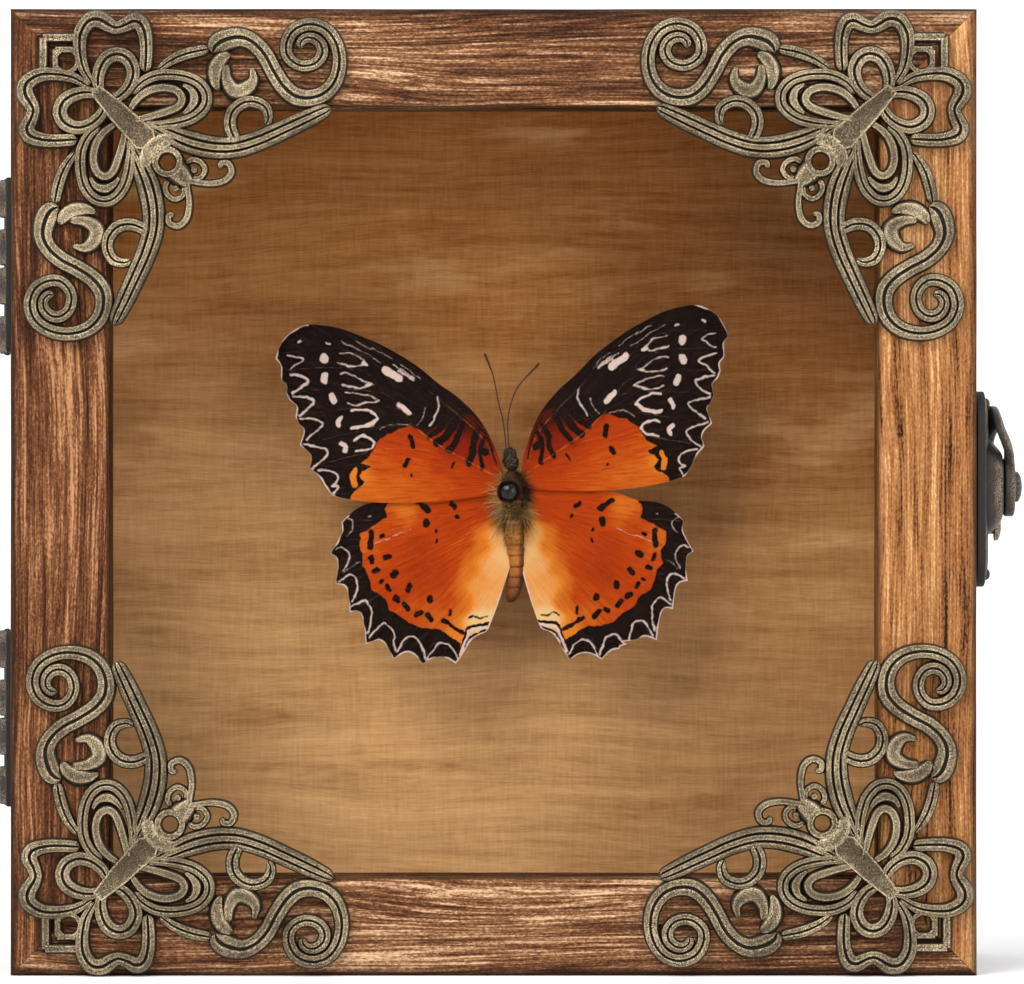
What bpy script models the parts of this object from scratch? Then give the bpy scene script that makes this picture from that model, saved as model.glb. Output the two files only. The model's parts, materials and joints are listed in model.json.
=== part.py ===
"""Framed butterfly specimen: a glazed wooden box that stands on its bottom edge.

The front (glazed lid) faces -Y, +X is to the right of someone facing it and +Z is up.
The origin is on the bottom face. Sizes below are millimetres; meshes are written in metres.
"""

import math

import bmesh
import bpy
from mathutils import Matrix, Vector

MM = 0.001

# Case
CASE = 165.0              # outer width and height
HALF = CASE / 2
LID_FRONT = -25.0         # y of the lid's front face
LID_DEPTH = 14.0
BASE_FRONT = -10.7
BASE_BACK = 25.0
RAIL_WIDTH = 16.8         # of the lid's rails and stiles
WALL = 8.0                # thickness of the base's walls
MITRE_GAP = 0.15          # on each side of a mitre
EDGE = 1.2                # radius of the rounded outer arrises
GLASS_FRONT = 4.0         # depth of the glass groove behind the lid's face
GROOVE = 2.3
GROOVE_DEPTH = 3.8
GLASS_THICK = 2.0
REBATE_WIDTH = 3.0        # at the back of the base, for the panel
REBATE_DEPTH = 4.1
PANEL_THICK = 3.8
GAP = 0.2                 # between pieces that touch on the real box

# Hinges, on the left side
HINGE_X = -HALF - 1.6
HINGE_Y = (LID_FRONT + LID_DEPTH + BASE_FRONT) / 2
HINGE_OFFSET = 38.9       # of each hinge's middle from the middle of the case
HINGE_LENGTH = 30.0
BARREL_R = 1.4
BARREL_BORE_R = 0.72
HINGE_PIN_R = 0.55
LEAF_THICK = 0.8
LEAF_WIDTH = 10.4
KNUCKLES_BASE = ((0.0, 6.5), (23.5, 30.0))
KNUCKLES_LID = ((8.5, 14.9), (15.25, 21.5))

# Swing catch, on the right side
PIVOT_Y = -18.0
PIVOT_Z = 83.4
CATCH_Z = 83.0            # middle of both plates
STUD_Y = -3.2
STUD_Z = 76.6
HOOK_LIFT = 22.0          # degrees that the hook stands above its latched place
HOOK_UNDER = 5.05         # height of the hook's underside over the lid's side, at its hub
HOOK_DIP = 2.75           # and past the plate's boss
HOOK_THICK = 1.6
HUB_R = 5.1

# Corner castings
CORNER_INSET = 4.7
CORNER_TURN = math.radians(0.7)
CORNER_THICK = 1.9

# Specimen
MID_X = 2.6               # the middle that the wings' outlines are measured from
MID_Z = 82.5
FOREWING_Y = 2.0
HINDWING_Y = 2.8
WING_THICK = 0.4
PIN_R = 0.32
PIN_BALL_R = 2.25
PIN_BALL = Vector((2.65, -7.0, 82.5))
PIN_SLOPE = 0.085         # sideways travel of the pin for each millimetre of depth
PIN_TIP_Y = 23.6


def material(name, colour, roughness, metallic=0.0, transmission=0.0):
    made = bpy.data.materials.new(name)
    made.use_nodes = True
    shader = made.node_tree.nodes["Principled BSDF"]
    shader.inputs["Base Color"].default_value = (*colour, 1.0)
    shader.inputs["Roughness"].default_value = roughness
    shader.inputs["Metallic"].default_value = metallic
    shader.inputs["Transmission Weight"].default_value = transmission
    return made


def solid(name, points, faces, finish, origin=(0, 0, 0), smooth=None):
    """A closed mesh from points in millimetres, with its object's origin at `origin`."""
    origin = Vector(origin)
    mesh = bpy.data.meshes.new(name)
    mesh.from_pydata([(Vector(p) - origin) * MM for p in points], [], faces)
    shape = bmesh.new()
    shape.from_mesh(mesh)
    bmesh.ops.recalc_face_normals(shape, faces=shape.faces)
    shape.to_mesh(mesh)
    shape.free()
    if smooth:
        mesh.shade_smooth()
        mesh.set_sharp_from_angle(angle=math.radians(smooth))
    mesh.materials.append(finish)
    made = bpy.data.objects.new(name, mesh)
    made.location = origin * MM
    bpy.context.scene.collection.objects.link(made)
    return made


def loft(rings):
    """Points and faces of a closed skin through rings that have the same number of points."""
    count = len(rings[0])
    points = [point for ring in rings for point in ring]
    faces = [tuple(range(count)), tuple(range(len(points) - count, len(points)))]
    for i in range(len(rings) - 1):
        for j in range(count):
            k = (j + 1) % count
            faces.append((i * count + j, i * count + k, (i + 1) * count + k, (i + 1) * count + j))
    return points, faces


def circle(radius, steps, turn=0.0):
    angles = [turn + 2 * math.pi * i / steps for i in range(steps)]
    return [(radius * math.cos(a), radius * math.sin(a)) for a in angles]


def arc(centre, radius, start, end, steps):
    """Points on an arc, its angles in degrees."""
    angles = [math.radians(start + (end - start) * i / steps) for i in range(steps + 1)]
    return [(centre[0] + radius * math.cos(a), centre[1] + radius * math.sin(a)) for a in angles]


def turned_x(profile, y, z, steps):
    """Rings of a turned piece that stands out along X: the profile is (x, radius) pairs."""
    return [[(x, y + a, z + b) for a, b in circle(r, steps)] for x, r in profile]


def hide(cutter):
    cutter.hide_render = True
    cutter.display_type = "WIRE"
    return cutter


def boolean(target, tool, operation, use_self=False):
    step = target.modifiers.new(operation.title(), "BOOLEAN")
    step.operation = operation
    step.object = tool
    step.solver = "EXACT"
    step.use_self = use_self


def pivot(name, place):
    empty = bpy.data.objects.new(name, None)
    empty.location = Vector(place) * MM
    bpy.context.scene.collection.objects.link(empty)
    return empty


def carry(piece, parent):
    """Parents the piece without moving it."""
    piece.parent = parent
    piece.matrix_parent_inverse = Matrix.Translation(-parent.location)


# Wooden case

def mitred_bars(names, profile, finish):
    """Four bars, mitred at the corners. The profile's points are (distance in from the
    outer face, y)."""
    bars = []
    for quarter, name in enumerate(names):
        turn = Matrix.Rotation(math.radians(90 * quarter), 3, "Y")
        ends = []
        for side in (-1, 1):
            ring = [Vector((side * (HALF - u - MITRE_GAP), y, u - HALF)) for u, y in profile]
            ends.append([turn @ point + Vector((0, 0, HALF)) for point in ring])
        bars.append(solid(name, *loft(ends), finish))
    return bars


def lid_profile():
    back = LID_FRONT + LID_DEPTH
    groove = LID_FRONT + GLASS_FRONT
    outer = arc((EDGE, LID_FRONT + EDGE), EDGE, 180, 270, 3)
    inner = arc((RAIL_WIDTH - 0.6, LID_FRONT + 0.6), 0.6, 270, 360, 2)
    slot = [
        (RAIL_WIDTH, groove),
        (RAIL_WIDTH - GROOVE_DEPTH, groove),
        (RAIL_WIDTH - GROOVE_DEPTH, groove + GROOVE),
        (RAIL_WIDTH, groove + GROOVE),
    ]
    return outer + inner + slot + [(RAIL_WIDTH, back), (0.5, back), (0, back - 0.5)]


def base_profile():
    outer = arc((EDGE, BASE_BACK - EDGE), EDGE, 90, 180, 3)
    rebate = BASE_BACK - REBATE_DEPTH
    return [
        (0.5, BASE_FRONT),
        (WALL, BASE_FRONT),
        (WALL, rebate),
        (WALL - REBATE_WIDTH, rebate),
        (WALL - REBATE_WIDTH, BASE_BACK),
        *outer,
        (0, BASE_FRONT + 0.5),
    ]


def slab(name, half, front, thick, finish):
    corners = [(-half, -half), (half, -half), (half, half), (-half, half)]
    rings = [[(x, y, HALF + z) for x, z in corners] for y in (front, front + thick)]
    return solid(name, *loft(rings), finish)


# Hinges

def rolled_section(toward, reach):
    """One leaf's rolled end, seen along the pin, its plate running `reach` towards -Y or +Y."""
    outer = arc((0, 0), BARREL_R, 0, 278, 12)
    inner = arc((0, 0), BARREL_BORE_R, 278, -33, 12)
    face = BARREL_R - LEAF_THICK
    shape = [(BARREL_R, -reach), *outer, *inner, (face, -reach)]
    return [(x, -toward * y) for x, y in shape]


def hinge_leaf(name, middle, toward, knuckles, finish):
    low = middle - HINGE_LENGTH / 2
    inset = 0.02
    face = HINGE_X + BARREL_R - LEAF_THICK + inset
    wood_side = HINGE_X + BARREL_R - inset
    near = HINGE_Y + toward * (BARREL_R + 0.35)
    far = HINGE_Y + toward * LEAF_WIDTH
    corner = 1.0
    top = low + HINGE_LENGTH
    outline = [
        (near, low),
        (far - toward * corner, low),
        (far, low + corner),
        (far, top - corner),
        (far - toward * corner, top),
        (near, top),
    ]
    plate = solid(name, *loft([[(x, y, z) for y, z in outline] for x in (face, wood_side)]), finish)
    for number, (start, end) in enumerate(knuckles):
        section = rolled_section(toward, BARREL_R + 1.2)
        rings = [
            [(HINGE_X + x, HINGE_Y + y, low + z) for x, y in section] for z in (start, end)
        ]
        roll = hide(solid(f"{name}_roll_{number}", *loft(rings), finish, smooth=40))
        boolean(plate, roll, "UNION")
    return plate


def brad_profile(out, deep, head_x, shank_r=0.45, head_r=1.0):
    """A round-headed brad whose head sits on `head_x` and whose shank goes `deep` inward."""
    return [
        (head_x - out * deep, shank_r),
        (head_x + out * 0.1, shank_r),
        (head_x + out * 0.1, head_r),
        (head_x + out * 0.35, head_r * 0.85),
        (head_x + out * 0.55, head_r * 0.4),
    ]


def drill(piece, places, x_low, x_high, radius, finish):
    """Bores a hole along X at each (y, z) place."""
    for number, (y, z) in enumerate(places):
        rings = turned_x([(x_low, radius), (x_high, radius)], y, z, 8)
        cutter = hide(solid(f"{piece.name}_hole_{number}", *loft(rings), finish))
        boolean(piece, cutter, "DIFFERENCE")


# Swing catch

def oval_ring(half_y, half_z, y, z, x, steps=16):
    """A flat-sided oval: half-round ends of radius half_y on a straight middle."""
    straight = max(half_z - half_y, 0)
    squeeze = 1.0 if half_z >= half_y else half_z / half_y
    ring = []
    for a, b in circle(half_y, steps, math.pi / steps):
        ring.append((x, y + a, z + b * squeeze + math.copysign(straight, b)))
    return ring


def hook_level(radius):
    """The hook's underside: high over the boss, then dipping towards the case."""
    t = min(max((radius - 5.5) / 8.0, 0), 1)
    return HOOK_UNDER - (HOOK_UNDER - HOOK_DIP) * t * t * (3 - 2 * t)


# Pairs of (outer radius, outer angle, inner radius, inner angle) about the pivot, latched
HOOK_STATIONS = (
    (3.2, 128, 3.2, 40),
    (6.0, 108, 5.6, 62),
    (8.6, 104, 7.6, 76),
    (11.2, 95, 8.9, 75),
    (12.6, 80, 9.8, 62),
    (13.6, 63, 10.6, 44),
    (15.2, 44, 11.9, 26),
    (17.4, 25, 13.2, 10),
    (19.4, 8, 13.9, -5),
    (20.6, -6, 13.8, -17),
    (20.8, -14, 15.4, -18.6),
    (20.7, -20, 17.9, -19.5),
    (20.2, -27, 17.9, -28),
    (19.4, -33, 18.3, -34),
)


def hook_arm():
    rings = []
    for outer_r, outer_a, inner_r, inner_a in HOOK_STATIONS:
        ring = []
        for r, a, up in (
            (outer_r, outer_a, 0),
            (inner_r, inner_a, 0),
            (inner_r, inner_a, 1),
            (outer_r, outer_a, 1),
        ):
            x = HALF + hook_level(r) + up * HOOK_THICK
            turn = math.radians(a)
            ring.append((x, PIVOT_Y + r * math.cos(turn), PIVOT_Z + r * math.sin(turn)))
        rings.append(ring)
    return loft(rings)


# Corner castings: one half of each, as (u, v, half width) along the middle of a flat band.
# u and v run from the casting's outer corner, and the other half swaps them.

CORNER_BANDS = (
    ((9.4, 8.9, 0.6), (7.3, 4.0, 1.3), (7.4, 0.2, 1.5), (10.3, -2.1, 1.7), (13.4, -0.7, 1.3),
     (16.6, -1.8, 1.6), (18.4, 1.0, 1.4), (18.4, 6.5, 1.2)),
    ((10.5, 8.6, 0.8), (11.3, 4.9, 0.9), (13.6, 3.9, 1.0), (16.0, 5.6, 0.9), (15.2, 11.2, 0.6)),
    ((16.8, 9.4, 0.9), (20.8, 8.0, 1.2), (24.6, 8.5, 1.6), (27.0, 11.4, 2.1), (24.6, 14.5, 1.6),
     (18.3, 15.6, 0.9)),
    ((19.0, 15.8, 0.9), (22.2, 17.4, 1.2), (27.0, 19.4, 1.9), (34.0, 19.6, 1.8),
     (41.4, 17.0, 1.7), (48.0, 14.0, 1.3), (49.5, 13.6, 0.5)),
    ((33.6, 18.6, 1.0), (32.6, 15.4, 1.0), (34.6, 12.3, 1.0), (37.4, 12.3, 0.9),
     (38.9, 14.9, 0.7)),
    ((19.2, 6.6, 0.6), (23.0, 4.7, 0.9), (30.4, 3.0, 1.0)),
    ((30.2, 3.4, 1.4), (31.8, 1.4, 1.9), (35.0, 1.1, 1.8), (38.7, 3.9, 1.6), (42.0, 9.4, 1.6),
     (46.7, 11.4, 1.5), (51.0, 8.0, 1.3), (51.2, 2.0, 1.1), (46.5, -1.5, 1.0),
     (42.4, 1.4, 1.0), (43.2, 5.2, 1.0), (46.8, 6.1, 0.9), (48.9, 3.4, 1.0), (47.5, 0.9, 0.8)),
    ((31.6, 2.7, 1.3), (30.3, 5.6, 1.6), (28.2, 9.8, 0.9)),
    ((30.4, 5.4, 0.8), (31.6, 8.8, 1.2), (34.8, 10.0, 1.5), (36.4, 6.6, 0.4)),
    ((25.0, 25.6, 0.6), (31.2, 25.5, 0.6), (32.8, 23.6, 0.6), (31.4, 22.4, 0.4)),
    ((25.0, 22.0, 0.6), (28.1, 22.6, 0.7), (27.0, 25.2, 0.8)),
)
CORNER_BAR = ((9.4, 9.4), (10.5, 9.6), (14.8, 12.7), (18.6, 16.4), (19.4, 18.0), (20.4, 18.2),
              (22.8, 20.0), (25.6, 21.4), (26.2, 26.2))
BRACKET_HOLE = (4.9, 1.4)
PLATE_HOLE = (22.0, 1.5)


def corner_point(u, v, side, up):
    """From the casting's own corner to the lid's face. side and up pick the case's corner."""
    turned_u = u * math.cos(CORNER_TURN) - v * math.sin(CORNER_TURN)
    turned_v = u * math.sin(CORNER_TURN) + v * math.cos(CORNER_TURN)
    return (
        side * (HALF - CORNER_INSET - turned_u),
        HALF + up * (HALF - CORNER_INSET - turned_v),
    )


def flat_piece(outline, thick):
    back = LID_FRONT - GAP
    return loft([[(x, back - depth, z) for x, z in outline] for depth in (0, thick)])


def band_outline(band, side, up, swapped):
    """Both edges of a band, each point set off square to the band's run."""
    left, right = [], []
    for i, (u, v, half_width) in enumerate(band):
        before = Vector(band[max(i - 1, 0)][:2])
        after = Vector(band[min(i + 1, len(band) - 1)][:2])
        run = (after - before).normalized()
        for edge, way in ((left, 1), (right, -1)):
            place = (u - way * run.y * half_width, v + way * run.x * half_width)
            edge.append(corner_point(*(place[::-1] if swapped else place), side, up))
    return left, right


def band_skin(band, thick, side, up, swapped):
    back = LID_FRONT - GAP
    left, right = band_outline(band, side, up, swapped)
    rings = []
    for (ax, az), (bx, bz) in zip(left, right):
        rings.append([(ax, back, az), (bx, back, bz), (bx, back - thick, bz), (ax, back - thick, az)])
    return loft(rings)


def joined(shapes):
    points, faces = [], []
    for more_points, more_faces in shapes:
        start = len(points)
        points += more_points
        faces += [tuple(start + i for i in face) for face in more_faces]
    return points, faces


def corner_casting(name, side, up, finish):
    bar = list(CORNER_BAR) + [(v, u) for u, v in reversed(CORNER_BAR)]
    core = solid(name, *flat_piece([corner_point(u, v, side, up) for u, v in bar], CORNER_THICK),
                 finish)
    bracket = [(0, 0), (6.2, 0), (8.0, 7.0), (10.4, 10.4), (7.0, 8.0), (0, 6.2)]
    shapes = [flat_piece([corner_point(u, v, side, up) for u, v in bracket], CORNER_THICK - 0.3)]
    for number, band in enumerate(CORNER_BANDS):
        thick = CORNER_THICK - 0.02 * (number + 1)
        shapes.append(band_skin(band, thick, side, up, False))
        shapes.append(band_skin(band, thick - 0.01, side, up, True))
    boolean(core, hide(solid(f"{name}_bands", *joined(shapes), finish)), "UNION", use_self=True)
    for number, (place, radius) in enumerate((BRACKET_HOLE, PLATE_HOLE)):
        x, z = corner_point(place, place, side, up)
        rings = [[(x + a, y, z + b) for a, b in circle(radius, 10)]
                 for y in (LID_FRONT - 3, LID_FRONT + 1)]
        boolean(core, hide(solid(f"{name}_hole_{number}", *loft(rings), finish)), "DIFFERENCE")
    return core


# Specimen: outlines in (x, z) from the specimen's middle

LEFT_FOREWING = ((-1.9, 4.6), (-4.8, 12.4), (-12.1, 18.9), (-22.6, 25.0), (-30.6, 28.4),
                 (-36.4, 29.1), (-40.2, 26.6), (-40.6, 23.8), (-39.0, 19.6), (-38.0, 14.6),
                 (-36.6, 8.4), (-34.7, 4.2), (-30.8, -0.7), (-27.3, -1.6), (-16.0, -0.6),
                 (-2.4, 0.4))
RIGHT_FOREWING = ((2.7, 5.0), (7.4, 14.4), (15.4, 22.8), (23.6, 29.2), (29.2, 32.2),
                  (33.1, 32.6), (36.8, 30.6), (38.2, 26.8), (37.4, 21.4), (36.4, 16.1),
                  (35.6, 10.8), (34.6, 7.4), (31.3, 3.2), (28.4, 2.4), (16.0, 1.8), (4.4, 1.6))
LEFT_HINDWING = ((-2.6, -0.6), (-14.0, -0.8), (-25.2, -1.9), (-29.8, -5.0), (-31.4, -10.5),
                 (-30.3, -16.3), (-27.9, -21.4), (-24.8, -26.6), (-20.1, -29.2),
                 (-15.1, -30.0), (-9.3, -29.6), (-5.6, -26.4), (-2.6, -20.4), (-0.7, -14.4),
                 (-0.6, -8.0), (-1.6, -4.4))
RIGHT_HINDWING = ((4.5, 0.6), (12.4, 1.2), (20.1, 0.9), (27.2, -1.2), (31.0, -5.4),
                  (32.4, -10.2), (31.4, -15.4), (29.0, -20.8), (25.8, -26.0), (20.8, -28.0),
                  (16.1, -29.3), (10.3, -29.0), (6.2, -23.4), (4.6, -16.6), (4.0, -10.4),
                  (3.9, -4.4))


def wing(name, outline, front, finish):
    depths = (front, front + WING_THICK)
    rings = [[(MID_X + x, y, MID_Z + z) for x, z in outline] for y in depths]
    return solid(name, *loft(rings), finish)


def body_part(name, stations, finish, steps=12):
    """A rounded body from (z, x, y, half width, half depth) stations."""
    rings = []
    for z, x, y, wide, deep in stations:
        rings.append([(x + wide * a, y + deep * b, z) for a, b in circle(1, steps)])
    return solid(name, *loft(rings), finish, smooth=50)


def pin_place(y):
    return Vector((PIN_BALL.x + PIN_SLOPE * (y - PIN_BALL.y), y, PIN_BALL.z))


def pin_shaft(name, start, end, radius, finish):
    rings = []
    for y in (start, end):
        middle = pin_place(y)
        rings.append([middle + Vector((a, 0, b)) for a, b in circle(radius, 8)])
    return solid(name, *loft(rings), finish, smooth=60)


def antenna(name, route, finish):
    """A thin stem that thickens into a club: the route is (x, z, radius) from the middle."""
    spine = bpy.data.curves.new(name, "CURVE")
    spine.dimensions = "3D"
    spine.bevel_depth = MM
    spine.bevel_resolution = 1
    spine.use_fill_caps = True
    line = spine.splines.new("POLY")
    line.points.add(len(route) - 1)
    for point, (x, z, radius) in zip(line.points, route):
        point.co = ((MID_X + x) * MM, 1.6 * MM, (MID_Z + z) * MM, 1)
        point.radius = radius
    spine.materials.append(finish)
    made = bpy.data.objects.new(name, spine)
    bpy.context.scene.collection.objects.link(made)
    return made


for old in list(bpy.data.objects):
    bpy.data.objects.remove(old, do_unlink=True)

torched_wood = material("torched_wood", (0.20, 0.085, 0.035), 0.55)
light_wood = material("light_wood", (0.50, 0.28, 0.13), 0.6)
clear_glass = material("clear_glass", (0.95, 0.97, 0.96), 0.03, transmission=1.0)
brass = material("antique_brass", (0.42, 0.34, 0.20), 0.4, 1.0)
bronze = material("dark_bronze", (0.16, 0.13, 0.11), 0.45, 1.0)
wing_skin = material("wing_scales", (0.62, 0.13, 0.03), 0.7)
body_fur = material("body_fur", (0.24, 0.12, 0.05), 0.85)
horn = material("dark_horn", (0.06, 0.03, 0.02), 0.5)
steel = material("pin_steel", (0.55, 0.55, 0.56), 0.3, 1.0)
black_bead = material("black_bead", (0.01, 0.01, 0.012), 0.15)

lid_pivot = pivot("lid_pivot", (HINGE_X, HINGE_Y, HALF))

# Base: four walls and a panel in their rebate, bored for the specimen's pin
mitred_bars(
    ("base_wall_bottom", "base_wall_left", "base_wall_top", "base_wall_right"),
    base_profile(), torched_wood,
)
panel_front = BASE_BACK - REBATE_DEPTH + GAP
back_panel = slab("back_panel", HALF - WALL + REBATE_WIDTH - 0.3, panel_front,
                  PANEL_THICK, light_wood)
pin_bore = pin_shaft("pin_bore", panel_front - 1, PIN_TIP_Y + 0.3, PIN_R + 0.15, steel)
boolean(back_panel, hide(pin_bore), "DIFFERENCE")

# Lid: four mitred bars around a pane that sits in their groove
for bar in mitred_bars(
    ("lid_rail_bottom", "lid_stile_left", "lid_rail_top", "lid_stile_right"),
    lid_profile(), torched_wood,
):
    carry(bar, lid_pivot)
pane_front = LID_FRONT + GLASS_FRONT + (GROOVE - GLASS_THICK) / 2
pane = slab("glass_pane", HALF - RAIL_WIDTH + GROOVE_DEPTH - 0.3, pane_front, GLASS_THICK,
            clear_glass)
carry(pane, lid_pivot)

for row, up in (("top", 1), ("bottom", -1)):
    for column, side in (("left", -1), ("right", 1)):
        carry(corner_casting(f"corner_{row}_{column}", side, up, brass), lid_pivot)

# Hinges: a leaf on the lid, a leaf on the base and a pin, with two brads in each leaf
for place, way in (("upper", 1), ("lower", -1)):
    middle = HALF + way * HINGE_OFFSET
    outside = HINGE_X + BARREL_R - LEAF_THICK
    for owner, toward, knuckles in (("lid", -1, KNUCKLES_LID), ("base", 1, KNUCKLES_BASE)):
        leaf = hinge_leaf(f"hinge_{place}_{owner}_leaf", middle, toward, knuckles, bronze)
        brad_y = HINGE_Y + toward * 6.4
        spots = [(brad_y, middle + end * 9.5) for end in (-1, 1)]
        drill(leaf, spots, outside - 1, outside + 1.4, 0.7, bronze)
        pieces = [leaf]
        for end, (y, z) in zip(("low", "high"), spots):
            rings = turned_x(brad_profile(-1, LEAF_THICK - 0.1, outside), y, z, 8)
            pieces.append(solid(f"hinge_{place}_{owner}_brad_{end}", *loft(rings), brass, smooth=50))
        for piece in pieces:
            if owner == "lid":
                carry(piece, lid_pivot)
    shaft = [(middle - HINGE_LENGTH / 2 - 0.3, HINGE_PIN_R), (middle + HINGE_LENGTH / 2 + 0.3,
                                                              HINGE_PIN_R)]
    rings = [[(HINGE_X + a, HINGE_Y + b, z) for a, b in circle(r, 10)] for z, r in shaft]
    solid(f"hinge_{place}_pin", *loft(rings), steel, smooth=50)

# Swing catch: a domed plate with a boss on the lid, a plate with a stud on the base
plate_x = HALF + GAP
lid_plate = solid("catch_lid_plate", *loft([
    oval_ring(5.6, 16.9, PIVOT_Y, CATCH_Z, plate_x),
    oval_ring(5.6, 16.9, PIVOT_Y, CATCH_Z, HALF + 1.5),
    oval_ring(5.0, 16.2, PIVOT_Y, CATCH_Z, HALF + 2.1),
    oval_ring(4.9, 8.3, PIVOT_Y, PIVOT_Z, HALF + 2.3),
    oval_ring(4.5, 5.4, PIVOT_Y, PIVOT_Z, HALF + 4.8),
]), bronze, smooth=35)
base_plate = solid("catch_base_plate", *loft([
    oval_ring(4.8, 16.9, STUD_Y, CATCH_Z, plate_x),
    oval_ring(4.8, 16.9, STUD_Y, CATCH_Z, HALF + 1.1),
    oval_ring(4.2, 16.2, STUD_Y, CATCH_Z, HALF + 1.6),
]), bronze, smooth=35)
lid_spots = [(PIVOT_Y, CATCH_Z + end * 14.6) for end in (-1, 1)]
base_spots = [(STUD_Y, CATCH_Z + end * 14.0) for end in (-1, 1)]
drill(lid_plate, lid_spots, HALF, HALF + 4, 0.7, bronze)
drill(base_plate, base_spots, HALF, HALF + 4, 0.7, bronze)
rivet_bore = turned_x([(HALF + 1.0, 1.2), (HALF + 6, 1.2)], PIVOT_Y, PIVOT_Z, 12)
boolean(lid_plate, hide(solid("rivet_bore", *loft(rivet_bore), bronze)), "DIFFERENCE")
stud_bore = turned_x([(HALF, 1.2), (HALF + 3, 1.2)], STUD_Y, STUD_Z, 12)
boolean(base_plate, hide(solid("stud_bore", *loft(stud_bore), bronze)), "DIFFERENCE")

rivet = solid("catch_rivet", *loft(turned_x(
    [(HALF + 1.2, 1.0), (HALF + 6.85, 1.0), (HALF + 6.85, 2.65), (HALF + 7.3, 2.6),
     (HALF + 7.8, 2.0), (HALF + 8.15, 0.8)], PIVOT_Y, PIVOT_Z, 12)), brass, smooth=50)
solid("catch_stud", *loft(turned_x(
    [(HALF + 0.3, 1.0), (HALF + 1.8, 1.0), (HALF + 1.8, 2.1), (HALF + 2.3, 1.9),
     (HALF + 2.3, 1.4), (HALF + 4.6, 1.4), (HALF + 4.6, 2.6), (HALF + 5.1, 2.5),
     (HALF + 5.6, 1.8), (HALF + 5.8, 0.7)], STUD_Y, STUD_Z, 12)), brass, smooth=50)

hub_at = (HALF + HOOK_UNDER, PIVOT_Y, PIVOT_Z)
hook = solid("catch_hook", *hook_arm(), bronze, origin=hub_at, smooth=35)
hub_rings = turned_x([(HALF + HOOK_UNDER, HUB_R), (HALF + HOOK_UNDER + HOOK_THICK + 0.1, HUB_R)],
                     PIVOT_Y, PIVOT_Z, 20)
hub = hide(solid("hook_hub", *loft(hub_rings), bronze, origin=hub_at))
eye_rings = turned_x([(HALF + 3, 1.2), (HALF + 9, 1.2)], PIVOT_Y, PIVOT_Z, 12)
eye = hide(solid("hook_eye", *loft(eye_rings), bronze, origin=hub_at))
boolean(hook, hub, "UNION")
boolean(hook, eye, "DIFFERENCE")
for piece in (hook, hub, eye):
    piece.rotation_euler.x = math.radians(HOOK_LIFT)
    carry(piece, lid_pivot)
for piece in (lid_plate, rivet):
    carry(piece, lid_pivot)
for plate, spots, face, owner in (
    ("catch_lid_brad", lid_spots, HALF + 2.15, lid_pivot),
    ("catch_base_brad", base_spots, HALF + 1.6, None),
):
    for end, (y, z) in zip(("low", "high"), spots):
        rings = turned_x(brad_profile(1, 1.1, face), y, z, 8)
        brad = solid(f"{plate}_{end}", *loft(rings), brass, smooth=50)
        if owner:
            carry(brad, owner)

# Specimen on its pin
wing("forewing_left", LEFT_FOREWING, FOREWING_Y, wing_skin)
wing("forewing_right", RIGHT_FOREWING, FOREWING_Y, wing_skin)
wing("hindwing_left", LEFT_HINDWING, HINDWING_Y, wing_skin)
wing("hindwing_right", RIGHT_HINDWING, HINDWING_Y, wing_skin)
thorax = body_part("thorax", (
    (86.1, 3.2, 2.8, 0.8, 0.9), (85.6, 3.2, 2.8, 1.5, 1.9), (84.2, 3.3, 3.0, 1.9, 3.1),
    (82.3, 3.5, 3.1, 2.1, 3.4), (80.0, 3.7, 3.1, 1.8, 3.0), (78.7, 3.8, 3.0, 1.0, 1.8),
), body_fur)
thorax_bore = pin_shaft("thorax_bore", -3, 9, PIN_R + 0.15, steel)
boolean(thorax, hide(thorax_bore), "DIFFERENCE")
body_part("head", (
    (90.4, 2.7, 2.0, 0.5, 0.5), (89.4, 2.8, 2.0, 1.2, 1.1), (88.0, 2.9, 2.2, 1.75, 1.5),
    (86.8, 3.1, 2.5, 1.4, 1.3), (86.35, 3.1, 2.6, 0.8, 0.8),
), body_fur)
body_part("abdomen", (
    (78.4, 3.85, 3.2, 0.9, 1.2), (77.6, 3.9, 3.4, 1.6, 1.8), (74.0, 4.3, 3.8, 1.75, 2.0),
    (69.0, 4.5, 4.2, 1.55, 1.8), (65.2, 4.0, 4.4, 1.3, 1.4), (63.2, 3.5, 4.5, 0.6, 0.6),
), body_fur)
antenna("antenna_left", (
    (-0.3, 8.6, 0.22), (-0.9, 12.2, 0.2), (-1.7, 16.0, 0.2), (-2.6, 19.6, 0.22),
    (-3.4, 22.2, 0.32), (-4.1, 24.2, 0.36), (-4.25, 24.7, 0.2),
), horn)
antenna("antenna_right", (
    (0.35, 8.6, 0.22), (0.3, 11.6, 0.2), (0.75, 14.4, 0.2), (1.7, 17.4, 0.2),
    (3.1, 20.0, 0.22), (4.4, 21.6, 0.32), (5.3, 22.5, 0.36), (5.55, 22.8, 0.2),
), horn)

pin_top = PIN_BALL.y + PIN_BALL_R + GAP
pin_shaft("pin_shaft", pin_top, PIN_TIP_Y, PIN_R, steel)
ball = bmesh.new()
bmesh.ops.create_icosphere(ball, subdivisions=2, radius=PIN_BALL_R * MM)
ball_mesh = bpy.data.meshes.new("pin_head")
ball.to_mesh(ball_mesh)
ball.free()
ball_mesh.shade_smooth()
ball_mesh.materials.append(black_bead)
pin_head = bpy.data.objects.new("pin_head", ball_mesh)
pin_head.location = PIN_BALL * MM
bpy.context.scene.collection.objects.link(pin_head)
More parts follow.
